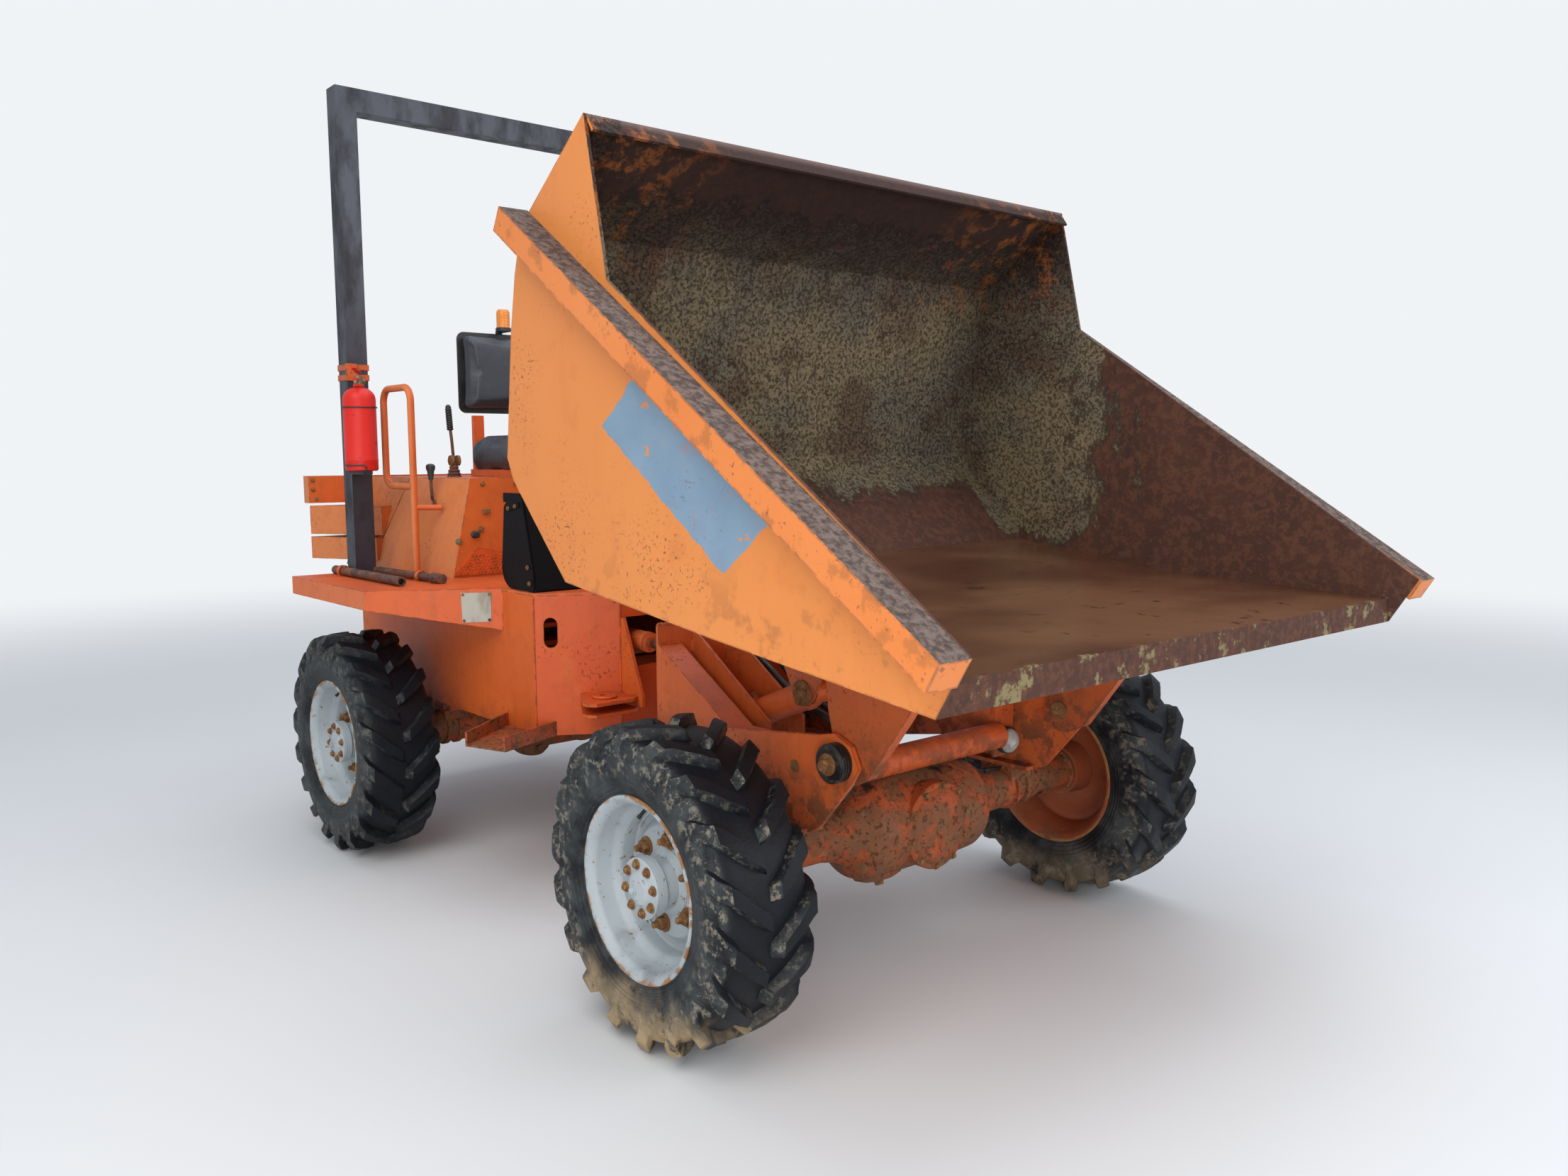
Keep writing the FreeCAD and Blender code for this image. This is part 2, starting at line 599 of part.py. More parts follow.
st_barrel = fuse([
    cyl_z(ST_REAR[0], ST_REAR[1], 30, ST_Z - 22, ST_Z + 22), rod(st_point(15), st_point(56), 20),
    rod(st_point(55), st_point(420), 32)])
st_barrel = st_barrel.cut(cyl_z(ST_REAR[0], ST_REAR[1], REAR_ST_PIN_R + RUN_GAP, ST_Z - 40, ST_Z + 40))
st_barrel = st_barrel.cut(rod(st_point(60), st_point(430), STEM_R + RUN_GAP))
export("steer_ram_barrel", [st_barrel])
st_eye = cyl_z(ST_FRONT[0], ST_FRONT[1], 26, ST_Z - 18, ST_Z + 18)
st_rod = fuse([rod(st_point(212), st_point(ST_LEN - 15), STEM_R), st_eye])
st_rod = st_rod.cut(cyl_z(ST_FRONT[0], ST_FRONT[1], ST_PIN_R + RUN_GAP, ST_Z - 40, ST_Z + 40))
eye_pin_half = ST_EAR_GAP - SEAT_GAP
eye_pin = cyl_z(ST_FRONT[0], ST_FRONT[1], ST_PIN_R, ST_Z - eye_pin_half, ST_Z + eye_pin_half)
export("steer_ram_rod", [st_rod, eye_pin])

# Fenders and deck
FENDER_OUT = 893.0
FENDER_X0 = -2176.0
FENDER_X1 = -1500.0
FENDER_IN_X = -1287.0
SKIRT = 6.0
fender_plan = [
    (FENDER_X0, -FENDER_OUT), (FENDER_X1, -FENDER_OUT), (FENDER_IN_X, -BODY_HALF), (FENDER_X0, -BODY_HALF),
]
top = prism_xy(fender_plan, DECK_Z - 8, DECK_Z)
outer_skirt = box(FENDER_X0, FENDER_X1, -FENDER_OUT, -FENDER_OUT + SKIRT, 880, DECK_Z - 8)
front_skirt = poly_face([
    P(FENDER_X1, -FENDER_OUT, 880), P(FENDER_IN_X, -BODY_HALF, 805), P(FENDER_IN_X, -BODY_HALF, DECK_Z - 8),
    P(FENDER_X1, -FENDER_OUT, DECK_Z - 8),
]).extrude(V(-SKIRT, 0, 0))
rear_skirt = box(FENDER_X0, FENDER_X0 + SKIRT, -FENDER_OUT, -BODY_HALF, 880, DECK_Z - 8)
fender_pieces = [top, outer_skirt, front_skirt, rear_skirt]
for x in (-2120.0, -1650.0):
    fender_pieces.append(prism_yz([
        (-BODY_HALF, DECK_Z - 8), (-BODY_HALF, 800), (-BODY_HALF - 60, 800), (-FENDER_OUT + SKIRT, 890),
        (-FENDER_OUT + SKIRT, DECK_Z - 8)], x, x + SKIRT))
export("fenders", both(fuse(fender_pieces)))

deck_plan = [
    (REAR_X, -BODY_HALF), (FOLD_X, -BODY_HALF), (NOSE_X, -NOSE_Y), (NOSE_X, NOSE_Y), (FOLD_X, BODY_HALF),
    (REAR_X, BODY_HALF),
]
ENGINE = (-2400.0, -1740.0, 230.0, 570.0, 1150.0)
deck = prism_xy(deck_plan, DECK_Z - 8, DECK_Z)
deck = deck.cut(box(ENGINE[0] - 20, ENGINE[1] + 20, -ENGINE[2] - 20, ENGINE[2] + 20, 900, 960))
export("deck_plate", [deck])
export("engine_block", [box(ENGINE[0], ENGINE[1], -ENGINE[2], ENGINE[2], ENGINE[3], ENGINE[4])])

# Roll bar: one hoop of square tube on the deck
POST_IN = 610.0
POST_OUT = 685.0
POST_X0 = -2190.0
POST_X1 = -2110.0
HOOP_Z = 2669.0
posts = []
for s in (-1.0, 1.0):
    y0 = POST_IN if s > 0 else -POST_OUT
    posts.append(box(POST_X0, POST_X1, y0, y0 + POST_OUT - POST_IN, DECK_Z, HOOP_Z))
bar = box(POST_X0, POST_X1, -POST_IN, POST_IN, HOOP_Z - 80, HOOP_Z)
TANK_AT = (-2045.0, -672.0)
TANK_R = 57.0
strap = box(POST_X1, TANK_AT[0], -690, -655, 1560, 1580)
strap = strap.cut(cyl_z(TANK_AT[0], TANK_AT[1], TANK_R + SEAT_GAP, 1500, 1600))
shelf = box(POST_X1, -1990, -690, -655, 1305, 1317)
export("roll_bar", [fuse(posts + [bar, strap, shelf])])

# Seat box and hood share one tapered housing, split by a leaning plane
HOUSE_X0 = -2500.0
HOUSE_X1 = -1694.0
TOP_Z = 1290.0
SKIN = 6.0
SPLIT_TOP = -2140.0
SPLIT_FOOT = -2290.0
SPLIT_GAP = 6.0


def frustum(xa, a_bottom, a_top, xb, b_bottom, b_top, z0, z1):
    p = [
        P(xa, -a_bottom, z0), P(xa, a_bottom, z0), P(xa, a_top, z1), P(xa, -a_top, z1),
        P(xb, -b_bottom, z0), P(xb, b_bottom, z0), P(xb, b_top, z1), P(xb, -b_top, z1),
    ]
    quads = [(0, 1, 2, 3), (4, 5, 6, 7), (0, 1, 5, 4), (1, 2, 6, 5), (2, 3, 7, 6), (0, 3, 7, 4)]
    faces = []
    for q in quads:
        a, b, c, d = [p[i] for i in q]
        faces.append(poly_face([a, b, c]))
        faces.append(poly_face([a, c, d]))
    return solid_from_faces(faces).removeSplitter()


house = frustum(HOUSE_X0, 575, 470, HOUSE_X1, 500, 426, DECK_Z, TOP_Z)
core = frustum(HOUSE_X0 + SKIN, 569, 464, HOUSE_X1 - SKIN, 494, 420, DECK_Z - 1, TOP_Z - SKIN)
shell = house.cut(core)
lean = (SPLIT_FOOT - SPLIT_TOP) / (DECK_Z - TOP_Z)


def split_x(z, shift):
    return SPLIT_TOP + lean * (z - TOP_Z) + shift


LOW, HIGH = DECK_Z - 42, TOP_Z + 50
FORE, AFT = HOUSE_X1 + 94, HOUSE_X0 - 100
parts_at = [(0.0, FORE), (-SPLIT_GAP, AFT)]
front_part, rear_part = [prism_xz([
    (split_x(LOW, shift), LOW), (split_x(HIGH, shift), HIGH), (far, HIGH), (far, LOW)], -700, 700)
    for shift, far in parts_at]
export("seat_box", [shell.common(front_part)])
lift = box(AFT, FORE, -700, 700, DECK_Z + 4, HIGH)
hood = shell.common(rear_part).common(lift)

# Hinge ears at the hood's rear foot
hinge_bits = []
for s in (-1.0, 1.0):
    y0 = 300.0 if s > 0 else -308.0
    ear = prism_xz([
        (HOUSE_X0 + 3, 990), (HOUSE_X0 + 3, 950), (HINGE[0] - 6, 946), (HINGE[0] - 14, 960),
        (HINGE[0] - 6, 974)], y0, y0 + 8)
    hinge_bits.append(ear)

# Air scoops standing out of both hood sides
scoops = []
for z0, z1 in ((DECK_Z + 33, DECK_Z + 118), (DECK_Z + 128, DECK_Z + 238)):
    for s in (-1.0, 1.0):
        root_y = 560 - (z0 - DECK_Z) * 0.25
        pts = [
            (HOUSE_X0 + 260, s * 470), (HOUSE_X0 + 260, s * root_y), (HOUSE_X0 - 20, s * 700),
            (HOUSE_X0 - 20, s * 470)]
        scoops.append(prism_xy(pts, z0, z1).cut(house).cut(core))
outer_scoops = []
for scoop in scoops:
    outer_scoops.append(max(scoop.Solids, key=lambda q: abs(q.CenterOfMass.y)))
hood = fuse([hood] + hinge_bits + outer_scoops).cut(cyl_y(HINGE[0], HINGE[1], HINGE_R + 0.05, -400, 400))
export("engine_hood", [hood])
export("rear_light_bar", [box(HOUSE_X0 - 54, HOUSE_X0, -708, 708, TOP_Z - 100, TOP_Z + 5)])

# Rear weight with a drawbar pocket and its pin bore
weight = box(WEIGHT_X, REAR_X, -450, 450, 420, 800)
weight = weight.cut(box(WEIGHT_X - 1, REAR_X - 40, -60, 60, 480, 570))
weight = weight.cut(cyl_z(HITCH_X, 0, HITCH_BORE_R, 400, 801))
export("counterweight", [weight])

# Seat
CUSHION_Z = TOP_Z + 28.0
BACK_Z = TOP_Z + 235.0
seat_bits = [box(-2128, -1740, -210, 210, TOP_Z, CUSHION_Z)]
seat_bits += both(box(-2128, -2104, 160, 200, TOP_Z, BACK_Z))
export("seat_frame", [fuse(seat_bits)])
export("seat_cushion", [box(-2100, -1700, -262, 262, CUSHION_Z, CUSHION_Z + 116)])
export("seat_backrest", [box(-2165, -2085, -250, 250, BACK_Z, BACK_Z + 331)])

# Dash, steering column and wheel
DASH_FOOT = -1090.0
DASH_TOP = -1165.0
DASH_Z = 1250.0
DASH_HALF = BODY_HALF - 12.0
dash_sheet = [(DASH_FOOT, DECK_Z), (DASH_TOP, DASH_Z), (DASH_TOP - 8, DASH_Z), (DASH_FOOT - 8, DECK_Z)]
dash = prism_xz(dash_sheet, -DASH_HALF, DASH_HALF)
wing = prism_xz([
    (DASH_FOOT - 4, DECK_Z), (DASH_TOP - 4, DASH_Z), (-1285, DASH_Z), (-1285, DASH_Z - 30),
    (-1210, DASH_Z - 30), (-1130, DECK_Z)], DASH_HALF - 8, DASH_HALF)
export("dash_panel", [fuse([dash] + both(wing))])
WHEEL_AT = P(-1400, 0, 1400)
COLUMN_AT = P(-1130, 0, 1135)
axis = (WHEEL_AT - COLUMN_AT).normalize()
ahead_of_dash = prism_xz([
    (DASH_FOOT - 8 - SEAT_GAP, DECK_Z), (DASH_TOP - 8 - SEAT_GAP, DASH_Z), (-900, DASH_Z),
    (-900, DECK_Z)], -100, 100)
column = rod(COLUMN_AT - axis * 20, WHEEL_AT, 22).cut(ahead_of_dash)
export("steering_column", [column])
HAND_R = 190.0
GRIP_R = 13.0
grip = []
for i in range(8):
    a = math.radians(45 * i + 22.5)
    grip.append((GRIP_R * math.sin(a), HAND_R + GRIP_R * math.cos(a)))
ring = laid_along(turned(grip, 24), WHEEL_AT + axis * 20, axis)
side_v = V(0, 1, 0)
up_v = axis.cross(side_v)
spokes = []
for i in range(3):
    a = math.radians(120 * i + 30)
    d = side_v * math.cos(a) + up_v * math.sin(a)
    spokes.append(rod(WHEEL_AT + axis * 20, WHEEL_AT + axis * 20 + d * HAND_R, 8))
hub = rod(WHEEL_AT, WHEEL_AT + axis * 36, 34)
export("steering_wheel", [fuse([ring, hub] + spokes)])

# Rubber flaps beside the footwell
flap = prism_xz([
    (-1290, DECK_Z + 4), (-1290, DASH_Z - 10), (-1180, DASH_Z - 10), (-1095, DECK_Z + 18),
    (-1105, DECK_Z + 4)], -DASH_HALF - 6, -DASH_HALF)
export("rubber_flaps", both(flap))

# Footsteps: flat pan with two raised flanges
STEP_OUT = BODY_HALF + 230.0
STEP_IN_X = -1051.0
pan_plan = [
    (-1281, -BODY_HALF), (-1110, -STEP_OUT), (-960, -STEP_OUT + 55), (STEP_IN_X, -panel_y(STEP_IN_X)),
    (FOLD_X, -BODY_HALF),
]
pan = prism_xy(pan_plan, BODY_Z0, BODY_Z0 + 6)
flange_a = prism_xy([
    (-1281, -BODY_HALF), (-1110, -STEP_OUT), (-1103, -STEP_OUT + 3),
    (-1272, -BODY_HALF)], BODY_Z0, BODY_Z0 + 45)
flange_b = prism_xy([
    (-960, -STEP_OUT + 55), (STEP_IN_X, -panel_y(STEP_IN_X)), (STEP_IN_X - 3, -panel_y(STEP_IN_X - 3)),
    (-967, -STEP_OUT + 53)], BODY_Z0, BODY_Z0 + 45)
export("footsteps", both(fuse([pan, flange_a, flange_b])))

# Grab rail beside the seat: closed loop, leg to the deck, arm to the seat box
RAIL_X, RAIL_Y, RAIL_TOP, LOOP_FOOT = -1862.0, -560.0, 1612.0, 1262.0
LOOP_X, LOOP_JOIN = RAIL_X - 238.0, LOOP_FOOT + 150.0
leg = faceted_tube(rounded_path([
    P(RAIL_X, RAIL_Y, DECK_Z), P(RAIL_X, RAIL_Y, RAIL_TOP), P(LOOP_X, RAIL_Y, RAIL_TOP),
    P(LOOP_X, RAIL_Y, LOOP_JOIN)], 50.0, 3), 12.0, 8)
lower = faceted_tube(rounded_path([
    P(LOOP_X, RAIL_Y, LOOP_JOIN), P(LOOP_X, RAIL_Y, LOOP_FOOT),
    P(RAIL_X - 4, RAIL_Y, LOOP_FOOT)], 50.0, 3), 12.0, 8)
g = SEAT_GAP
near_house = frustum(HOUSE_X0, 575 + g, 470 + g, HOUSE_X1 + g, 500 + g, 426 + g, DECK_Z, TOP_Z)
arm = rod(P(RAIL_X, RAIL_Y, TOP_Z - 102), P(RAIL_X + 42, RAIL_Y + 108, TOP_Z - 102), 10)
rail = fuse([leg, lower, arm])
export("grab_rails", [side.cut(near_house) for side in both(rail)])

# Fire extinguisher on the right-hand post
tank = cyl_z(TANK_AT[0], TANK_AT[1], TANK_R, 1317, 1610)
neck = cyl_z(TANK_AT[0], TANK_AT[1], 18, 1610, 1665)
export("fire_extinguisher", [fuse([tank, neck])])

export("lock_bar", [cyl_x(-745, DECK_Z + 16, 16, -2150, -1560)])
lever = rod(P(-2060, -310, TOP_Z + 30), P(-2060, -325, TOP_Z + 270), 8)
lever_box = box(-2080, -2040, -325, -300, TOP_Z, TOP_Z + 70)
export("hand_levers", [fuse([lever, lever_box])])
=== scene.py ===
import math
import bmesh
import bpy
import numpy as np
from mathutils import Matrix, Vector


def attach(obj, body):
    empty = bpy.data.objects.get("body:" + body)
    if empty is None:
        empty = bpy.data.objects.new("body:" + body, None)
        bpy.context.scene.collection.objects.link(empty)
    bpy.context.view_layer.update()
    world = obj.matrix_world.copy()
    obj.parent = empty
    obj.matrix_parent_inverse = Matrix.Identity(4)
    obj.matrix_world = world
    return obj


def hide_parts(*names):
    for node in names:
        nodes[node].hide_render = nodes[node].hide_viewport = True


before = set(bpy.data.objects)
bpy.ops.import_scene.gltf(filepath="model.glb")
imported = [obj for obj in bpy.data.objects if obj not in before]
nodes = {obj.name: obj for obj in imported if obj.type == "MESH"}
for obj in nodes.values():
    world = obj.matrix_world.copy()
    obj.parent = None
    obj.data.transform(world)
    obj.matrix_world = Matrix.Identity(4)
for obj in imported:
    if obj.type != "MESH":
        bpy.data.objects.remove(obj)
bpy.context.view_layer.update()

# Places are given in millimetres from the front axle, as in the drawing of the machine:
# x forward, y to the left, z up from the ground.
FRONT_AXLE_X = 808.5


def at(x, y, z):
    return Vector(((x + FRONT_AXLE_X) / 1000.0, y / 1000.0, z / 1000.0))


# Materials

class Paint:
    """One procedural material, built from named masks and colours."""

    def __init__(self, name):
        self.material = bpy.data.materials.new(name)
        self.material.use_nodes = True
        self.tree = self.material.node_tree
        self.tree.nodes.clear()
        self.shader = self.tree.nodes.new("ShaderNodeBsdfPrincipled")
        output = self.tree.nodes.new("ShaderNodeOutputMaterial")
        self.tree.links.new(self.shader.outputs[0], output.inputs[0])
        self.coords = self.tree.nodes.new("ShaderNodeTexCoord")
        self.place = self.split(self.coords.outputs["Object"])
        self.facing = self.split(self.coords.outputs["Normal"])

    def put(self, socket, value):
        if isinstance(value, bpy.types.NodeSocket):
            self.tree.links.new(value, socket)
        elif hasattr(value, "__len__") and len(value) == 3 and socket.type == "RGBA":
            socket.default_value = (*value, 1.0)
        else:
            socket.default_value = value

    def split(self, vector):
        node = self.tree.nodes.new("ShaderNodeSeparateXYZ")
        self.put(node.inputs[0], vector)
        return {"x": node.outputs[0], "y": node.outputs[1], "z": node.outputs[2]}

    def math(self, kind, a, b=0.0):
        node = self.tree.nodes.new("ShaderNodeMath")
        node.operation = kind
        self.put(node.inputs[0], a)
        self.put(node.inputs[1], b)
        return node.outputs[0]

    def both(self, a, b):
        return self.math("MULTIPLY", a, b)

    def either(self, a, b):
        return self.math("MAXIMUM", a, b)

    def unless(self, a):
        return self.math("SUBTRACT", 1.0, a)

    def band(self, value, low, high):
        """0 below low, 1 above high, smooth between; falls instead where low is the larger."""
        node = self.tree.nodes.new("ShaderNodeMapRange")
        node.interpolation_type = "SMOOTHSTEP"
        turn = low > high
        self.put(node.inputs["Value"], value)
        node.inputs["From Min"].default_value = min(low, high)
        node.inputs["From Max"].default_value = max(low, high)
        node.inputs["To Min"].default_value = 1.0 if turn else 0.0
        node.inputs["To Max"].default_value = 0.0 if turn else 1.0
        return node.outputs[0]

    def noise(self, scale, detail=6.0, rough=0.6, stretch=(1.0, 1.0, 1.0), shift=0.0):
        mapping = self.tree.nodes.new("ShaderNodeMapping")
        self.put(mapping.inputs["Vector"], self.coords.outputs["Object"])
        mapping.inputs["Scale"].default_value = stretch
        mapping.inputs["Location"].default_value = (shift, shift * 0.7, shift * 1.3)
        node = self.tree.nodes.new("ShaderNodeTexNoise")
        self.put(node.inputs["Vector"], mapping.outputs[0])
        node.inputs["Scale"].default_value = scale
        node.inputs["Detail"].default_value = detail
        node.inputs["Roughness"].default_value = rough
        return node.outputs["Fac"]

    def patches(self, scale, low, high, **kw):
        return self.band(self.noise(scale, **kw), low, high)

    def cells(self, scale, low, high):
        node = self.tree.nodes.new("ShaderNodeTexVoronoi")
        self.put(node.inputs["Vector"], self.coords.outputs["Object"])
        node.inputs["Scale"].default_value = scale
        return self.band(node.outputs["Distance"], low, high)

    def mix(self, factor, a, b):
        node = self.tree.nodes.new("ShaderNodeMix")
        node.data_type = "RGBA"
        self.put(node.inputs["Factor"], factor)
        self.put(node.inputs["A"], a)
        self.put(node.inputs["B"], b)
        return node.outputs["Result"]

    def level(self, factor, a, b):
        """A number that goes from a to b with the factor."""
        node = self.tree.nodes.new("ShaderNodeMapRange")
        self.put(node.inputs["Value"], factor)
        node.inputs["To Min"].default_value = a
        node.inputs["To Max"].default_value = b
        return node.outputs[0]

    def relief(self, *heights):
        """Bumps laid over each other: pairs of (height mask, depth in metres)."""
        normal = None
        for height, depth in heights:
            node = self.tree.nodes.new("ShaderNodeBump")
            node.inputs["Distance"].default_value = depth
            node.inputs["Strength"].default_value = 1.0
            self.put(node.inputs["Height"], height)
            if normal is not None:
                self.put(node.inputs["Normal"], normal)
            normal = node.outputs[0]
        self.put(self.shader.inputs["Normal"], normal)

    def edges(self, width, soft=0.06):
        """1 along sharp edges."""
        rounded = self.tree.nodes.new("ShaderNodeBevel")
        rounded.samples = 4
        rounded.inputs["Radius"].default_value = width
        flat = self.tree.nodes.new("ShaderNodeNewGeometry")
        dot = self.tree.nodes.new("ShaderNodeVectorMath")
        dot.operation = "DOT_PRODUCT"
        self.put(dot.inputs[0], rounded.outputs["Normal"])
        self.put(dot.inputs[1], flat.outputs["Normal"])
        return self.band(dot.outputs["Value"], 0.995, 0.995 - soft)

    def rows(self, u, v, centre, half, ragged, shift=0.0):
        """1 inside a rectangle given in the two measures u and v, with a ragged edge."""
        wander = self.both(self.math("SUBTRACT", self.noise(22.0, shift=shift), 0.5), ragged)
        inside = None
        for measure, middle, reach in ((u, centre[0], half[0]), (v, centre[1], half[1])):
            away = self.math("ABSOLUTE", self.math("SUBTRACT", measure, middle))
            away = self.math("ADD", away, wander)
            side = self.band(away, reach + 0.001, reach - 0.001)
            inside = side if inside is None else self.both(inside, side)
        return inside

    def finish(self, colour, rough, metal=0.0, coat=0.0, specular=None):
        self.put(self.shader.inputs["Base Color"], colour)
        self.put(self.shader.inputs["Roughness"], rough)
        self.put(self.shader.inputs["Metallic"], metal)
        if coat:
            self.shader.inputs["Coat Weight"].default_value = coat
            self.shader.inputs["Coat Roughness"].default_value = 0.18
        if specular is not None:
            self.shader.inputs["Specular IOR Level"].default_value = specular
        return self.material


RUST = (0.075, 0.026, 0.013)
RUST_LIGHT = (0.26, 0.095, 0.03)
GRIME = (0.035, 0.024, 0.018)
CRUST = (0.20, 0.155, 0.09)


def worn_paint(name, fresh, side_fade_and_light, wear=0.5, grime=0.5, rough=0.44, low=0.0):
    """Old machine paint: side faces take the side tone, partly real fading and partly painted reflection of the sky;
    pitted to rust, streaked with dirt, rustier below the height low.
    """
    p = Paint(name)
    side = p.band(p.math("ABSOLUTE", p.facing["y"]), 0.35, 0.9)
    up = p.band(p.facing["z"], 0.5, 0.95)
    cloudy = p.noise(2.2, detail=5.0)
    # Side faces lean to the side tone: partly real fading, partly painted light standing for the sky's reflection on
    # those faces.
    fade_and_painted_light = p.math("MULTIPLY_ADD", side, 0.75)
    p.put(fade_and_painted_light.node.inputs[2], p.math("MULTIPLY", cloudy, 0.30))
    colour = p.mix(fade_and_painted_light, fresh, side_fade_and_light)
    yellow = p.patches(6.0, 0.58, 0.74, detail=7.0, shift=21.0)
    colour = p.mix(p.both(yellow, 0.30), colour, (0.62, 0.19, 0.020))
    mottle = p.patches(23.0, 0.45, 0.70, detail=8.0, rough=0.7, shift=27.0)
    colour = p.mix(p.both(mottle, 0.22), colour, (0.36, 0.055, 0.012))
    streaks = p.patches(9.0, 0.52, 0.78, stretch=(3.0, 3.0, 0.30), detail=7.0)
    colour = p.mix(p.both(streaks, 0.34 * grime), colour, GRIME)
    lying = p.both(up, p.patches(3.1, 0.35, 0.7, shift=3.0))
    colour = p.mix(p.both(lying, 0.50 * grime), colour, GRIME)
    stain = p.patches(14.0, 0.62 - 0.06 * wear, 0.76, detail=9.0, rough=0.7, shift=5.0)
    colour = p.mix(p.both(stain, 0.55), colour, RUST_LIGHT)
    cluster = p.patches(3.7, 0.60 - 0.16 * wear, 0.72 - 0.16 * wear, detail=6.0, shift=13.0)
    chips = p.both(p.patches(95.0, 0.59, 0.63, detail=7.0, rough=0.65, shift=9.0), cluster)
    specks = p.both(p.cells(48.0, 0.10, 0.06), p.patches(5.0, 0.50, 0.56, shift=43.0))
    rim = p.both(p.edges(0.005), p.patches(26.0, 0.50 - 0.08 * wear, 0.58 - 0.08 * wear, detail=7.0, shift=31.0))
    worn = p.either(p.either(p.both(chips, 0.85), p.both(specks, 0.7)), rim)
    if low:
        height = p.math("ADD", p.place["z"], p.both(p.noise(5.0, shift=37.0), 0.16))
        under = p.band(height, low + 0.12, low - 0.04)
        eaten = p.both(under, p.patches(17.0, 0.44, 0.56, detail=9.0, rough=0.7, shift=47.0))
        worn = p.either(worn, p.both(eaten, 0.9))
        colour = p.mix(p.both(under, 0.25), colour, GRIME)
    colour = p.mix(worn, colour, p.mix(p.noise(50.0, detail=8.0), (0.065, 0.024, 0.013), (0.22, 0.075, 0.028)))
    p.relief((p.noise(180.0, detail=3.0), 0.0004), (p.noise(9.0, detail=4.0), 0.003), (p.unless(worn), 0.0009))
    return p.finish(colour, p.level(p.either(worn, stain), rough, 0.85), specular=0.32)


def rusty(name, paint, bare=(0.10, 0.04, 0.022), share=0.5, rough=0.7, scale=9.0):
    """Castings and steelwork where paint and rust share the surface."""
    p = Paint(name)
    kept = p.patches(scale, 0.45 + 0.2 * (share - 0.5), 0.55 + 0.2 * (share - 0.5), detail=10.0, rough=0.72)
    brown = p.mix(p.noise(24.0, detail=7.0), bare, RUST_LIGHT)
    colour = p.mix(kept, brown, p.mix(p.noise(3.0 * scale, detail=8.0), paint, [c * 0.62 for c in paint]))
    pits = p.patches(scale * 7.0, 0.55, 0.63, detail=8.0, rough=0.7, shift=15.0)
    colour = p.mix(p.both(pits, 0.7), colour, [c * 0.45 for c in bare])
    dust = p.patches(scale * 2.2, 0.60, 0.70, detail=8.0, shift=25.0)
    colour = p.mix(p.both(dust, 0.55), colour, (0.21, 0.145, 0.085))
    oil = p.patches(5.2, 0.60, 0.66, detail=7.0, shift=4.0)
    colour = p.mix(p.both(oil, 0.92), colour, (0.010, 0.008, 0.007))
    p.relief((p.noise(60.0, detail=8.0), 0.0030), (kept, 0.0010), (p.unless(pits), 0.0012))
    return p.finish(colour, p.level(oil, rough, 0.35), specular=0.35)


def plain_steel(name, colour, dark, rough=0.45, metal=0.85):
    p = Paint(name)
    smear = p.patches(14.0, 0.4, 0.7, detail=8.0, stretch=(1.0, 1.0, 0.4))
    p.relief((p.noise(220.0, detail=3.0), 0.0003), (smear, 0.0005))
    return p.finish(p.mix(smear, colour, dark), p.level(smear, rough, rough + 0.25), metal)


def tank_red():
    p = Paint("extinguisher_red")
    scuffs = p.patches(26.0, 0.62, 0.68, detail=8.0)
    chalky = p.mix(p.noise(4.0), (0.58, 0.012, 0.008), (0.64, 0.028, 0.018))
    p.relief((p.noise(120.0), 0.0003), (scuffs, -0.0004))
    return p.finish(p.mix(scuffs, chalky, (0.30, 0.02, 0.015)), p.level(scuffs, 0.40, 0.65), specular=0.3)


def tyre_rubber(name, mud, centre):
    """Black rubber, greyed on the sidewall, with dried mud low on the wheel where mud is above 0."""
    p = Paint(name)
    dx = p.math("SUBTRACT", p.place["x"], centre[0])
    dz = p.math("SUBTRACT", p.place["z"], centre[2])
    radius = p.math("SQRT", p.math("ADD", p.both(dx, dx), p.both(dz, dz)))
    rings = p.math("MULTIPLY", p.band(p.math("PINGPONG", p.math("SUBTRACT", radius, 0.229), 0.006), 0.0015, 0.0045), 1.0)
    rings = p.both(rings, p.both(p.band(radius, 0.222, 0.225), p.band(radius, 0.262, 0.258)))
    side = p.band(p.math("ABSOLUTE", p.facing["y"]), 0.45, 0.85)
    grey = p.both(side, p.patches(9.0, 0.38, 0.66, detail=9.0, rough=0.7))
    colour = p.mix(p.noise(16.0), (0.004, 0.005, 0.007), (0.009, 0.011, 0.015))
    colour = p.mix(p.both(grey, 0.62), colour, (0.075, 0.085, 0.086))
    outer = p.both(side, p.band(radius, 0.25, 0.30))
    scraped = p.both(outer, p.patches(42.0, 0.50, 0.60, detail=9.0, rough=0.72, stretch=(1.0, 1.0, 1.0), shift=17.0))
    colour = p.mix(p.both(scraped, 0.30 + 0.45 * mud), colour, (0.22, 0.195, 0.150))
    low = p.band(p.math("ADD", p.place["z"], p.both(p.noise(9.0, detail=7.0, shift=2.0), 0.22)), 0.30, 0.16)
    faces = p.either(side, p.band(p.math("ABSOLUTE", p.math("SUBTRACT", p.place["y"], centre[1])), 0.085, 0.110))
    caked = p.both(p.both(low, mud), p.both(faces, p.patches(13.0, 0.34, 0.46, detail=9.0, rough=0.7, shift=11.0)))
    colour = p.mix(caked, colour, p.mix(p.noise(34.0, detail=8.0), (0.46, 0.35, 0.21), (0.20, 0.14, 0.08)))
    p.relief((p.noise(90.0, detail=8.0), 0.0014), (caked, 0.003), (rings, 0.0018))
    return p.finish(colour, p.level(p.either(caked, p.both(grey, 0.6)), 0.42, 0.88), specular=0.18)


